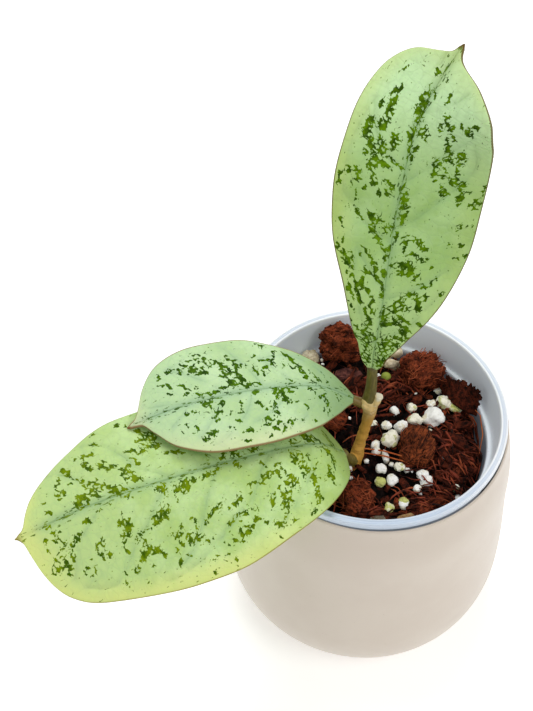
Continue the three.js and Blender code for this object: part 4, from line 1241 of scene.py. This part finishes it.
        (82.9, -2.9, 1.2, 0.3, -15), (76, -0.6, 0.7, 0.25), (71.3, 1.1, 0.6, 0.3), (102.4, -6.4, 0.5, 0.4),
        (102.3, -2.8, 0.8, 0.6, -30), (98.3, -0.6, 1, 0.3, 0, 0.7), (89, 2.6, 0.8, 0.3, -30, 0.8),
        (87.6, 2, 0.8, 0.25, -10, 0.8), (85.1, 1.8, 0.8, 0.25, -10, 0.8), (78.8, 1.6, 1.2, 0.25, -15),
        (104.2, 1.2, 0.8, 0.5), (103.4, 3.1, 0.7, 0.4), (101.7, 4, 0.6, 0.35), (103.3, 4.3, 0.4, 0.7),
        (104.2, 5.5, 0.8, 0.4, -50), (106.8, 4.3, 0.6, 0.6), (102.2, 6.2, 1.2, 0.3, -50),
        (102.8, 8.2, 2.1, 0.35, 35), (96.7, 6.8, 1.2, 0.5, 35), (98, 7.8, 1.3, 0.7, 40),
        (99.5, 8.5, 1, 0.8, 30), (100.5, 11.2, 0.4, 1.2), (101.4, 12.9, 0.5, 1.6, 10),
        (103.2, 14.5, 1, 0.4, 30), (103.6, 13.2, 0.6, 1, 20), (103.7, 11, 0.7, 0.7, 20, 0.7),
        (106.2, 13.7, 0.9, 0.8), (105.2, 13.8, 0.9, 0.5, 20), (108.2, 13.6, 0.6, 0.9),
        (106.1, 11.4, 0.6, 1.1, 20, 0.8), (107, 11.8, 0.4, 0.8, 20, 0.7), (107, 7.7, 0.5, 0.8),
        (104.2, 16.3, 0.7, 0.5, 30), (93.4, 3.8, 1.1, 0.7), (92.2, 4.5, 0.8, 0.4),
        (92.2, 12.2, 1.2, 0.6, 40), (93.5, 13.2, 0.7, 0.4, 40), (90.1, 11.1, 0.4, 0.9),
        (91, 13, 0.4, 1.1, 20), (92.5, 14.7, 0.8, 0.5), (92.3, 16.3, 0.4, 0.9), (90.4, 16.1, 0.8, 0.7, 30),
        (96, 14.9, 0.6, 0.3, 30, 0.8), (98.4, 16.8, 0.5, 0.5), (99.8, 17.6, 0.3, 0.9, 10),
        (96.3, 17.6, 0.3, 0.6, 30), (96.4, 19.5, 0.4, 0.7), (98.2, 19.2, 0.5, 0.4, 30, 0.8),
        (87.2, 22.9, 0.4, 0.9, 25), (87.8, 25.9, 0.3, 1.5, 15), (81, 27.7, 0.6, 0.3, -30, 0.8),
        (83.4, 23.1, 0.9, 0.8), (82.4, 22.5, 0.3, 0.7), (82.2, 6.9, 0.4, 1.5), (83.7, 7.8, 0.8, 0.5),
        (82.5, 8.5, 1.5, 0.9), (81.2, 8.8, 0.9, 0.8), (80.2, 8.8, 0.35, 1), (81.2, 10.4, 1, 0.5, -20),
        (80.8, 11.2, 0.5, 0.5), (82.7, 11.4, 0.9, 0.4), (83.8, 11.9, 1, 0.5), (82.5, 12.6, 0.8, 0.4, -30),
        (84.3, 13.7, 0.5, 0.5), (84.5, 16, 0.4, 1.2), (84.4, 17.2, 0.4, 0.5), (68.5, 2.4, 1.6, 0.7),
        (68, 3.6, 0.6, 1.2), (67.4, 1.1, 1.2, 0.4, -40), (70.3, 6, 0.4, 1, 0, 0.8),
        (66.6, 3.9, 0.3, 1.2, 10, 0.6), (68.2, 6.8, 0.3, 1.2, 10, 0.8), (69.5, 9.2, 1.4, 1.1),
        (69.3, 10.4, 0.6, 1.2), (71, 9.6, 1, 0.8), (72.2, 10.7, 1.2, 0.8, 20), (73.2, 11.9, 1.3, 0.5, 40),
        (74.8, 12.9, 0.9, 0.3, 50), (73, 9.8, 1, 0.3), (77.6, 13.4, 2.4, 0.22, 42),
        (79, 13.2, 1.6, 0.35, 45), (79.8, 13.4, 1, 0.25, 30, 0.7), (78.6, 13.7, 0.6, 0.5),
        (78.7, 17, 0.5, 1.2), (79.3, 18.7, 0.9, 1.1), (77.6, 16.4, 0.4, 1.2), (77, 18.2, 0.5, 1.2),
        (78.2, 19.6, 1, 0.5), (75.4, 19.2, 1.4, 0.9, -10), (76.3, 19.9, 1.4, 0.4),
        (73.9, 20.8, 1, 0.5, -30), (73.7, 21.9, 0.5, 0.7), (80.5, 20.6, 0.9, 0.6), (79.9, 19.5, 0.5, 0.8),
        (77.6, 23.5, 0.6, 0.4), (67.3, 17.2, 0.8, 1.1, 20), (65.9, 15.3, 0.5, 1, 20),
        (68.7, 17.8, 0.7, 0.6, 30), (69.4, 16, 0.3, 1.2, -10), (67.3, 20, 0.7, 0.6),
        (69.5, 21.4, 0.5, 0.8), (69, 24.4, 0.9, 0.5, 30), (69.6, 25.2, 0.4, 0.6), (71, 28.6, 0.5, 0.35),
        (61.5, 3.2, 1.4, 0.8, 30), (61, 4.7, 1, 1), (62.3, 5.5, 0.6, 0.7), (63.6, 3.9, 0.9, 0.5, 35),
        (64.4, 4.6, 0.7, 0.4, 30), (60.5, 2, 0.9, 0.5, 30), (57.8, 2.7, 0.9, 0.45), (58.8, 2.8, 0.8, 0.3),
        (64.4, 2.4, 0.8, 0.3, 10, 0.8), (64.8, 7.1, 0.3, 0.9), (55.4, 3.2, 0.6, 0.3, 30),
        (54.6, 2.5, 0.9, 0.3, 30), (53.4, 2, 1, 0.35, 20), (51.1, 2.1, 0.9, 0.5, 25),
        (49.9, 1.7, 0.6, 0.4, 20), (47, 0.6, 1.2, 0.25, 0, 0.7), (44.5, 0.8, 1, 0.25, 0, 0.7),
        (47, -2.4, 0.7, 1.4), (47.8, -1.4, 1, 0.5), (43.2, -1.6, 1.5, 0.9, -20), (43.8, -2.8, 1, 0.5, -30),
        (51.6, -3.7, 1, 0.5, -50, 0.8), (37.6, -1.8, 2, 0.5, -10, 0.8), (38.9, -1.6, 1, 0.5, 0, 0.7),
        (61.3, -7.9, 2.2, 0.4, -20), (58.7, -6.6, 0.9, 0.4, -30), (63, -8.3, 0.8, 0.4),
        (36.6, 3.1, 0.35, 0.9), (35.2, 3.6, 0.35, 1.6, 15), (43.9, 1.9, 1.1, 0.4, -55),
        (36.4, 7.8, 1.2, 0.9, 10), (37.3, 9.4, 1, 0.7, 20), (35.1, 7.3, 0.6, 1.3), (34, 7.2, 1, 0.6, 20),
        (32.6, 6.5, 1.1, 0.7, 20), (31.9, 5.9, 0.6, 0.8), (31.9, 8, 0.35, 1.4), (31.4, 5.1, 0.9, 0.4),
        (30.8, 7.3, 0.35, 0.9), (26.5, 3, 0.4, 1.2), (25, 2.9, 0.9, 0.4), (26.6, 4, 0.4, 1.2),
        (25, 4.3, 0.8, 0.5), (23.3, 3.7, 0.4, 1), (26, 5.4, 0.9, 0.5), (24, 5.7, 0.9, 0.4),
        (22.9, 6.4, 0.4, 1), (23.7, 7.2, 0.8, 0.6), (22.4, 7.8, 0.5, 1.2), (24.4, 9.7, 0.6, 0.8),
        (21, 4.6, 0.4, 1.2), (18.8, 7.4, 0.8, 0.8), (19.9, 8.7, 0.6, 0.7), (21.2, 11, 0.8, 1),
        (21, 13, 0.6, 1.2), (21.1, 15.1, 0.7, 1.1), (21.7, 17, 0.7, 1.3), (22.3, 18.9, 0.5, 0.9),
        (22.7, 13.2, 0.2, 1.4, 0, 0.8), (20.5, 18, 0.4, 0.8, 20), (24.4, 19, 0.3, 0.6, 0, 0.8),
        (28.6, 9.4, 1, 0.7), (27.7, 10.8, 1.1, 1), (27.2, 12, 0.6, 0.8), (28.8, 12.3, 0.5, 1.1, 10),
        (29.5, 7.9, 0.4, 0.8), (30, 13.4, 0.4, 0.8), (30.2, 11.4, 0.4, 0.8, -10), (33.1, 12, 1, 0.4, 30),
        (35.9, 15.2, 0.8, 1.2), (36.6, 17.2, 0.5, 1.1), (35.2, 13.9, 0.6, 0.8), (37, 18, 0.5, 0.6),
        (32.4, 15.4, 0.9, 1.2), (30.7, 14.2, 0.5, 1), (31, 16, 0.9, 0.9), (32.4, 17.7, 1, 1),
        (33.7, 18, 0.5, 0.8), (30.7, 17.1, 0.4, 0.8), (32.7, 19.7, 0.3, 0.9), (37.1, 22.7, 0.5, 1.2),
        (36.4, 23.6, 1, 0.6), (35.5, 23.2, 0.5, 1), (34.2, 22.5, 0.4, 1.2, 10), (33.5, 21, 0.35, 0.9),
        (36.3, 22.7, 0.4, 0.7), (36.4, 26.8, 0.5, 0.4), (31.8, 23.2, 0.9, 0.3, 30, 0.7),
        (24, 21.6, 0.8, 0.4, 30), (24.8, 22.4, 0.6, 0.3, 20), (15.3, 9.6, 0.9, 1.5),
        (15.8, 11.3, 0.7, 0.8), (14.8, 12, 0.3, 1.6), (13, 8.2, 0.35, 1.2), (15, 14, 0.4, 1),
        (12.6, 9.2, 0.3, 1, 0, 0.8), (13.2, 4, 1, 1.4, -20), (12.4, 5.8, 0.8, 1.2, -20),
        (13.2, 2.6, 1, 0.5, -40), (14.4, 1.9, 1, 0.3, -50), (16.4, 2.1, 1, 0.3, -50, 0.8),
        (12.2, 6.8, 0.4, 1, 0, 0.8), (19.6, 11.6, 0.3, 1, 0, 0.8), (18, 13.2, 0.3, 1, 0, 0.7),
        (24.6, -1.7, 1, 0.6), (20, -3, 1.4, 0.8), (18.8, -1.4, 1.4, 0.5, -20), (16.8, -2, 1.4, 0.5, -40),
        (14.6, -0.6, 1, 0.5, -40), (8, -3, 3, 0.5, -60), (9.5, -2, 3, 0.5, -60),
        (41.5, 8.6, 1, 0.5, 30, 0.8), (40, 8.2, 0.4, 0.8), (42.2, 10.8, 0.3, 0.8, 0, 0.7),
        (46.1, 12, 0.9, 0.8), (47.2, 13.4, 1, 0.5, 20), (46, 11, 0.4, 0.9), (47.6, 12, 0.25, 1.4, 0, 0.5),
        (45.8, 12.9, 0.6, 0.5), (50, 14.2, 0.5, 0.6, 20), (51, 11, 0.3, 1.1, 0, 0.6),
        (53.1, 12.6, 1, 0.6, 10), (54.8, 13.5, 1.2, 0.6, 25), (55.9, 14, 0.9, 0.7, 30),
        (57.1, 14.6, 0.9, 0.35, 40), (58.2, 16, 0.5, 0.8), (51.2, 18.6, 0.9, 0.5, 10),
        (49.8, 17.5, 0.8, 0.6, 40), (48.4, 16.9, 0.8, 0.5, 40), (45.7, 17, 0.8, 0.7, 20),
        (46.5, 16.7, 0.8, 0.3, 10), (47.4, 18.6, 0.3, 1.1), (43.6, 15.4, 0.3, 1.6, 30, 0.8),
        (42, 16.6, 0.2, 1.4, 0, 0.8), (62, 14.2, 1.2, 0.5, -30), (61.6, 16, 0.4, 1.1),
        (62.4, 13.6, 0.6, 0.4), (64.6, 18.7, 0.8, 1.2), (64.3, 20, 0.8, 1.1), (63, 19.6, 1, 0.6),
        (61.7, 19.2, 0.6, 1.1), (61.2, 19.9, 0.9, 0.8), (62, 20.5, 1, 0.5), (64.4, 21, 0.4, 0.6),
        (66.4, 24, 0.5, 0.6, 20), (59.6, 21.6, 0.4, 0.9, 20), (58.2, 21.2, 0.4, 0.5, 20),
        (47.7, 23.3, 1.1, 0.9), (48.6, 22.3, 0.6, 1), (46.6, 22.9, 1, 0.6, 20), (48.6, 24.4, 0.4, 0.9),
        (49, 21.6, 0.5, 0.4), (51.2, 24.1, 0.8, 0.6, -40), (44.9, 21.5, 0.8, 0.8),
        (46, 20.6, 0.8, 0.4, -20), (44.2, 21.3, 0.5, 0.5), (42.5, 19.9, 1.2, 0.5), (42.9, 19.3, 0.5, 0.6),
        (39.8, 21.3, 0.5, 0.8), (59.6, 27.6, 1.2, 0.4, 0, 0.7), (56.5, 28.2, 3, 0.2, -39, 0.7),
        (62.4, 26.1, 1, 0.3, 0, 0.7), (54.6, 27.6, 0.5, 0.4), (52.6, 29.3, 0.3, 0.8, 20, 0.8),
        (53.3, 25, 0.25, 0.8, 0, 0.8), (60.2, 30.9, 0.6, 0.6), (54.9, 23.6, 0.4, 0.5, 20, 0.8),
        (52, 20.9, 0.3, 0.8, 20, 0.8),
    ],
}

# Lateral veins that show on the lower leaf, as places along and across it
lowerVeins = [
    [(33, 1), (37.5, 6), (41.5, 12.5), (50.3, 18.7), (58.6, 24.3), (67, 28), (74, 29.5)],
    [(19, 1), (20, 5), (22.4, 10.6), (26.7, 15.8), (30.9, 20), (36, 25)],
    [(50, 1), (55, 8), (59, 15), (64, 22), (70, 27)],
    [(65.5, 0.5), (71, 6), (76.3, 12), (80, 14.6), (83, 18), (87, 22), (91, 25), (96, 24.6), (101, 22)],
    [(87, 1), (93.5, 6), (98, 9), (101, 14), (103.5, 18.5)],
    [(66, -1), (69, -3.7), (73.2, -5.8), (75.2, -9.9), (79.3, -15.3), (83, -18), (88, -19)],
    [(84, -1), (88, -5), (92, -9.6), (96, -13), (99, -14)],
    [(48, -1), (54, -6), (58, -12), (64, -19), (70, -22)],
    [(30, -1), (35, -7), (40, -14), (46, -20), (52, -23)],
    [(14, -1), (18, -8), (24, -15), (31, -20)],
]

# Shares of the blade's length: where veins leave the midrib and end, and how far they run; then the
# share of the half width that they reach, and how far they sway in mm
veinLook = {"first": 0.08, "span": 0.8, "last": 0.96, "run": (0.1, 0.2), "reach": (0.6, 0.85), "sway": 1.6}


# Lateral veins leave the midrib unevenly and bend toward the tip, with loops between some of them
def veinLines(form, length, halfAt):
    if form["veins"] == "placed":
        return [[tuple(p) for p in curveThrough(vein, 24)[0]] for vein in lowerVeins]
    look, count = veinLook, form["veins"]
    chance = random.Random(form["seed"])
    lines = []
    for side in (1, -1):
        ends = []
        for i in range(count):
            start = length * (look["first"] + look["span"] * (i + 0.5 * chance.random()) / count)
            end = min(length * look["last"], start + length * chance.uniform(*look["run"]))
            reach = side * chance.uniform(*look["reach"]) * halfAt(side, end)
            sway = chance.uniform(-look["sway"], look["sway"])
            line = []
            for u in np.linspace(0, 1, 16):
                along = start + (end - start) * u ** 1.3 + sway * math.sin(3 * u)
                line.append((along, reach * (1.25 * u - 0.25 * u * u)))
            lines.append(line)
            ends.append(line[-1])
        for (a, b), (c, d) in list(zip(ends, ends[1:]))[::2]:
            lines.append([(a + (c - a) * u, (b + (d - b) * u) * (1 + 0.1 * math.sin(math.pi * u)))
                          for u in np.linspace(0, 1, 12)])
    return lines


# How far each place is from the nearest of the lines
def nearest(lines, along, across):
    best = np.full(along.shape, np.inf)
    for line in lines:
        for (a, b), (c, d) in zip(line, line[1:]):
            du, dv = c - a, d - b
            share = np.clip(((along - a) * du + (across - b) * dv) / (du * du + dv * dv), 0, 1)
            best = np.minimum(best, np.hypot(along - a - share * du, across - b - share * dv))
    return best


# How far the map of marks is crumpled, and by how coarse and how fine a noise. The seed keeps the
# noise's vectors the same on each run, because by themselves they follow the clock
crumple = {"reach": 0.85, "coarse": 0.55, "fine": 1.2, "fineShare": 0.6, "seed": 1795640097}
noise.seed_set(crumple["seed"])


def crumpled(u, v):
    coarse, fine = crumple["coarse"], crumple["fine"]
    bent = noise.noise_vector(Vector((u * coarse, v * coarse, 3)))
    return bent + crumple["fineShare"] * noise.noise_vector(Vector((u * fine, v * fine, 9)))


# How dark each place is: the marks, each with a thin skirt, on a slightly crumpled map
def splashField(places, along, across, grow):
    shove = [crumpled(u, v) for u, v in zip(along, across)]
    along = along + crumple["reach"] * np.array([v.x for v in shove])
    across = across + crumple["reach"] * np.array([v.y for v in shove])
    field = np.zeros(along.shape)
    for s, c, halfLength, halfWidth, *more in places:
        halfLength, halfWidth = halfLength * grow, halfWidth * grow
        heading, strength = more + [0, 1][len(more):]
        # Narrow marks are a little stronger, so that the grain doesn't break them up
        strength *= 1.25 - 0.25 * min(1.2, halfWidth)
        ahead, aside = math.cos(math.radians(heading)), math.sin(math.radians(heading))
        u = ((along - s) * ahead + (across - c) * aside) / halfLength
        v = ((across - c) * ahead - (along - s) * aside) / halfWidth
        away = u * u + v * v
        mark = 0.75 * np.exp(-0.6 * away ** 2) + 0.25 * np.exp(-0.35 * away)
        field = np.maximum(field, strength * mark)
    return field


# Angles given in degrees at even steps along a blade, read at each share of the way
def anglesAt(values, share):
    return np.radians(np.interp(share, np.linspace(0, 1, len(values)), values))


def unit(vectors):
    return vectors / np.linalg.norm(vectors, axis=1)[:, None]


# The midrib's place and the blade's own axes at each share of the way, and the midrib's length
def bladeAxes(form, share):
    line, length = curveThrough(form["midrib"], bladeGrid["samples"])
    marks = np.linspace(0, 1, len(line))

    def read(table):
        return np.column_stack([np.interp(share, marks, table[:, k]) for k in range(table.shape[1])])

    ahead = read(unit(np.gradient(line, axis=0)))
    level = unit(np.column_stack([-ahead[:, 1], ahead[:, 0], 0 * share]))
    out = np.cross(ahead, level)
    roll = anglesAt(form["roll"], share)[:, None]
    sideways = level * np.cos(roll) + out * np.sin(roll)
    normal = out * np.cos(roll) - level * np.sin(roll)
    return read(line), sideways, normal, length


# The blade laid flat as a map, and the same turned so that its first axis follows the lateral veins
def layFlat(mesh, across, along):
    loops = np.zeros(len(mesh.loops), np.int32)
    mesh.loops.foreach_get("vertex_index", loops)
    flat = np.column_stack([across, along])[loops]
    side = np.sign(np.array([sum(across[v] for v in p.vertices) for p in mesh.polygons]))
    side = np.repeat(side, [len(p.vertices) for p in mesh.polygons])
    angle = math.radians(bladeGrid["slant"])
    outward = side * flat[:, 0]
    slanted = np.column_stack([
        flat[:, 1] * math.cos(angle) + outward * math.sin(angle),
        outward * math.cos(angle) - flat[:, 1] * math.sin(angle) + bladeGrid["apart"] * side,
    ])
    for name, values in (("flat", flat), ("slant", slanted)):
        layer = mesh.uv_layers.new(name=name)
        layer.data.foreach_set("uv", (0.5 + values / bladeGrid["sheet"]).astype(np.float32).ravel())


# A blade's mesh without thickness, and each point's distance from the edge
def bladeMesh(node, form):
    look = bladeGrid
    bm = bmesh.new()
    bmesh.ops.create_grid(bm, x_segments=look["columns"], y_segments=look["rows"], size=1)
    grid = np.array([v.co[:2] for v in bm.verts])
    # Columns lie closer toward the edges and rows toward the two ends
    column = -grid[:, 0] * (1.25 - 0.25 * grid[:, 0] ** 2)
    even = (grid[:, 1] + 1) / 2
    share = even - 0.06 * np.sin(2 * math.pi * even)
    point, sideways, normal, length = bladeAxes(form, share)
    edges = {side: curveThrough(form[name], 400)[0] for side, name in ((1, "left"), (-1, "right"))}

    def halfAt(side, at):
        return np.interp(at, edges[side][:, 0], edges[side][:, 1])

    along = share * length
    onLeft = column > 0
    half = np.where(onLeft, halfAt(1, along), halfAt(-1, along))
    drawnIn = np.clip((length - along) / look["tipRun"], 0, 1) ** 0.7
    half = look["tipHalf"] + (half - look["tipHalf"]) * drawnIn
    across = column * half
    rim = np.minimum((1 - np.abs(column)) * half, (length - along) * 0.5 + 0.05)
    midrib = np.abs(across)
    vein = nearest(veinLines(form, length, halfAt), along, across)

    # Grooves over the midrib and the veins, beds raised between them, and a wave along the edges
    swell = np.sin(math.pi * share)
    body = np.clip(rim / 4, 0, 1) * swell ** 0.4
    near = np.minimum(vein, midrib * 1.3)
    quilt = form["quilt"] * body * (1 - np.exp(-(near / look["bedWidth"]) ** 1.5))
    groove = -look["ribDepth"] * swell ** 0.5 * np.exp(-(midrib / look["ribWidth"]) ** 2)
    groove -= form["quilt"] * look["veinDepth"] * body * np.exp(-(vein / look["veinWidth"]) ** 2)
    wave = form["wave"] * column ** 4 * np.sin(share * look["ripples"] + np.where(onLeft, 0, 2)) * swell
    widest = max(w for _, w in form["left"] + form["right"])
    camber = form["camber"] * (across / widest) ** 2 * widest
    fold = np.where(onLeft, anglesAt(form["foldLeft"], share), anglesAt(form["foldRight"], share))
    rise = midrib * np.sin(fold) - camber + wave + groove + quilt * 0.8
    place = point + sideways * (across * np.cos(fold))[:, None] + normal * rise[:, None]
    for vert, spot in zip(bm.verts, place * mm + np.array(nurseryPlace.translation)):
        vert.co = spot
    mesh = meshFrom(node, bm)
    fields = {
        "rim": rim, "vein": vein, "midrib": midrib, "share": share, "across": across,
        "splash": splashField(splashes[node], along, across, form["grow"]),
    }
    for name, values in fields.items():
        mesh.attributes.new(name, "FLOAT", "POINT").data.foreach_set("value", values.astype(np.float32))
    layFlat(mesh, across, along)
    return mesh, rim


# near and far are painted light and shade, near by the stalk and far toward the tip
leafLooks = {
    "leaf_upright": {
        "slot": "leaf_pale_green",
        "pale": paint(166, 198, 130), "pale2": paint(150, 184, 106), "veil": paint(140, 174, 124),
        "near": paint(188, 218, 142), "nearTo": 0.34, "far": paint(198, 230, 176),
        "yellow": paint(196, 208, 112), "rimColour": paint(92, 66, 18), "rimWidth": 0.5,
        "splashDark": paint(42, 72, 0), "splashLight": paint(92, 130, 0), "yellowAt": 0.4,
        "yellowFrom": -30, "tip": paint(96, 56, 30)},
    "leaf_middle": {
        "slot": "leaf_mint",
        "pale": paint(196, 224, 174), "pale2": paint(182, 212, 154), "veil": paint(150, 184, 152),
        "near": paint(148, 180, 124), "nearTo": 0.3, "far": paint(190, 220, 166),
        "yellow": paint(222, 222, 170), "rimColour": paint(136, 96, 56), "rimWidth": 0.7,
        "splashDark": paint(36, 70, 0), "splashLight": paint(80, 120, 0), "yellowAt": 0.5,
        "yellowFrom": 0, "tip": paint(104, 50, 40)},
    "leaf_lower": {
        "slot": "leaf_yellow_green",
        "pale": paint(194, 222, 154), "pale2": paint(176, 206, 124), "veil": paint(142, 176, 130),
        "near": paint(158, 186, 102), "nearTo": 0.12, "far": paint(188, 214, 140),
        "yellow": paint(222, 230, 138), "rimColour": paint(146, 132, 46), "rimWidth": 0.45,
        "splashDark": paint(56, 88, 0), "splashLight": paint(116, 142, 0), "yellowAt": 0.8,
        "yellowFrom": 0, "tip": paint(140, 116, 50)},
}
veinGreen = paint(98, 130, 76)
yellowFade = 18


# The dark ink: marks broken up by a grain along the veins, dashes near the midrib, and fine dots
def splashInk(finish, flat, large, midrib):
    sheet = bladeGrid["sheet"]
    slant = finish.add("UVMap", {"uv_map": "slant"}, {})
    veined = finish.add("Mapping", {}, {"Vector": slant, "Scale": (sheet / 1.5, sheet, 1)})
    ribbed = finish.add("Mapping", {}, {"Vector": flat, "Scale": (sheet * 1.2, sheet * 0.35, 1)})
    blot = finish.noise(veined, 1.5, 3, 0.65, 0.5) - 0.5
    threads = 0.14 - finish.cells(veined, 0.75, "DISTANCE_TO_EDGE")
    marks = finish.rise(finish.attribute("splash") * 0.7 + blot * 1.4 + threads * 1.5, 0.47, 0.52)
    nearRib = finish.fall(midrib, 0.4, 3.0)
    dashes = finish.rise(finish.noise(ribbed, 1.0, 3, 0.6) + nearRib * 0.1, 0.66, 0.69)
    dots = finish.fall(finish.cells(large, 0.62), 0.1, 0.16) * finish.patches(large, 0.2, 2, 0.5, 0.56)
    return marks.most(dashes * 0.9).most(dots * 0.75)


def leafFinish(name, look, topSide):
    finish = Finish(name)
    flat = finish.add("UVMap", {"uv_map": "flat"}, {})
    large = finish.add("VectorMath", {"operation": "SCALE"}, {0: flat, 3: bladeGrid["sheet"]})
    vein, midrib = finish.attribute("vein"), finish.attribute("midrib")
    rim, share = finish.attribute("rim"), finish.attribute("share")
    cloud = finish.noise(large, 0.09, 4, 0.6)
    colour = finish.blend(finish.rise(cloud, 0.35, 0.65), look["pale"], look["pale2"])
    # Painted light and shade toward the tip: lighter on the upright leaf, a little darker on the others
    colour = finish.blend(finish.rise(share + cloud * 0.2, 0.66, 0.98), colour, look["far"])
    # Painted light and shade by the stalk: lighter on the upright leaf, darker on the others
    colour = finish.blend(finish.fall(share - cloud * 0.2, -0.04, look["nearTo"]), colour, look["near"])
    net = finish.fall(finish.cells(large, 0.32, "DISTANCE_TO_EDGE"), 0.0, 0.12)
    colour = finish.blend(net * 0.12, colour, look["veil"])
    shade = finish.noise(large, 0.5, 4, 0.6)
    colour = finish.blend(finish.rise(shade, 0.4, 0.75) * 0.18, colour, look["veil"])
    # A dull veil over the veins and the midrib, with a darker line in the middle of each
    broken = finish.patches(large, 0.14, 3, 0.36, 0.6)
    nearVein = finish.fall(vein + shade * 2.4, 1.0, 3.4) * broken
    nearRib = finish.fall(midrib + shade * 2.4, 0.9, 2.2 + 2.2 * finish.rise(share, 0, 0.4))
    colour = finish.blend((nearVein * 0.45).most(nearRib * 0.65), colour, look["veil"])
    fine = finish.fall(vein + shade, 0.55, 0.95) * broken * 0.4
    fine = fine.most(finish.fall(midrib, 0.12, 0.5))
    colour = finish.blend(fine * 0.4, colour, veinGreen)
    # Yellow toward the edges on one side and at the tip, but not at the stalk
    yellowFrom = look["yellowFrom"]
    onYellow = finish.rise(finish.attribute("across"), yellowFrom, yellowFrom + yellowFade)
    onYellow = onYellow.most(finish.rise(share, 0.86, 0.96)) * finish.rise(share, 0.08, 0.45)
    yellow = finish.fall(rim + cloud * 7, 3.0, 12) * onYellow * look["yellowAt"]
    colour = finish.blend(yellow, colour, look["yellow"])
    if topSide:
        tone = finish.patches(large, 0.35, 3, 0.35, 0.65)
        ink = finish.blend(tone, look["splashDark"], look["splashLight"])
        colour = finish.blend(splashInk(finish, flat, large, midrib), colour, ink)
    colour = finish.blend(finish.rise(share, 0.975, 0.998) * 0.8, colour, look["tip"])
    edge = finish.fall(rim, look["rimWidth"] * 0.4, look["rimWidth"])
    colour = finish.blend(edge * 0.85, colour, look["rimColour"])
    relief = finish.noise(large, 0.9, 4, 0.6) + net * -0.4
    return finish.shade(colour, 0.42 + 0.16 * cloud, finish.bump(relief, 0.12, 0.6),
                        Specular_IOR_Level=0.06, Subsurface_Weight=0.08,
                        Subsurface_Radius=(0.002, 0.003, 0.001), Subsurface_Scale=0.5)


def leafPiece(node, form):
    look, name = leafLooks[node], pieceName(node)
    mesh, rim = bladeMesh(node, form)
    # The back is duller and has no splashes
    under = dict(look, pale=tuple(c * 0.85 for c in look["pale"]), pale2=look["veil"])
    materials = [leafFinish(name + "Face", look, True), leafFinish(name + "Under", under, False)]
    piece = dress(bpy.data.objects.new(name, mesh), materials, [node])
    group = piece.vertex_groups.new(name="thick")
    thin = bladeGrid["thin"]
    for i, distance in enumerate(rim):
        depth = min(1.0, distance / bladeGrid["marginRound"])
        group.add([i], thin + (1 - thin) * math.sqrt(1 - (1 - depth) ** 2), "REPLACE")
    solid = piece.modifiers.new("thickness", "SOLIDIFY")
    solid.thickness = bladeGrid["thickness"] * mm
    solid.offset = 0
    solid.vertex_group = "thick"
    solid.material_offset = 1
    settle(piece)
    piece.vertex_groups.clear()
    piece.data.shade_smooth()


for node, form in leafForms.items():
    leafPiece(node, form)
    print(node, "unfurled")


# Floor, light and camera

stageLook = {
    "floor": paint(250, 250, 250), "floorShade": paint(244, 244, 244), "white": (1.0, 1.0, 1.0, 1.0),
    "floorSize": 4.0, "glow": 0.36, "sky": 0.44,
}


def studio():
    look = stageLook
    finish = Finish("floorPaper")
    tone = finish.noise(finish.place(), 0.01, 2)
    colour = finish.blend(tone * 0.1, look["floor"], look["floorShade"])
    bm = bmesh.new()
    bmesh.ops.create_grid(bm, x_segments=8, y_segments=8, size=look["floorSize"] / 2)
    mesh = meshFrom("floorPaper", bm)
    mesh.materials.append(finish.shade(colour, 0.9, Emission_Color=look["white"],
                                       Emission_Strength=look["glow"]))
    floor = bpy.data.objects.new("floorPaper", mesh)
    link(floor)
    world = bpy.data.worlds.new("studioSky")
    bpy.context.scene.world = world
    world.use_nodes = True
    sky = world.node_tree.nodes["Background"]
    sky.inputs["Color"].default_value = look["white"]
    sky.inputs["Strength"].default_value = look["sky"]


lamps = {
    "softboxRight": {"spot": (0.45, -0.35, 0.75), "size": 0.5, "power": 2.3, "colour": (1.0, 0.98, 0.95)},
    "softboxTop": {"spot": (-0.12, 0.3, 0.85), "size": 0.5, "power": 3.4, "colour": (1.0, 1.0, 1.0)},
    "softboxLeft": {"spot": (-0.6, -0.25, 0.7), "size": 0.6, "power": 0.3, "colour": (0.96, 0.98, 1.0)},
}
aim = Vector((0, 0, 0.08))


def lampAt(name, look):
    light = bpy.data.lights.new(name, "AREA")
    light.shape = "DISK"
    light.size = look["size"]
    light.energy = look["power"]
    light.color = look["colour"]
    lamp = bpy.data.objects.new(name, light)
    lamp.location = look["spot"]
    lamp.rotation_euler = (aim - lamp.location).to_track_quat("-Z", "Y").to_euler()
    link(lamp)


cameraLook = {"spot": (-0.03618, -0.2285, 0.4055), "tilt": 39.2, "lens": 58.23, "sensor": 36}


def photoCamera():
    look = cameraLook
    lens = bpy.data.cameras.new("photoCamera")
    lens.lens = look["lens"]
    lens.sensor_width = look["sensor"]
    lens.clip_start = 0.01
    camera = bpy.data.objects.new("photoCamera", lens)
    camera.location = look["spot"]
    camera.rotation_euler = (math.radians(look["tilt"]), 0, 0)
    link(camera)
    bpy.context.scene.camera = camera


studio()
for name, look in lamps.items():
    lampAt(name, look)
photoCamera()
bpy.context.scene.view_settings.view_transform = "Standard"
print("stage, lights and camera set")
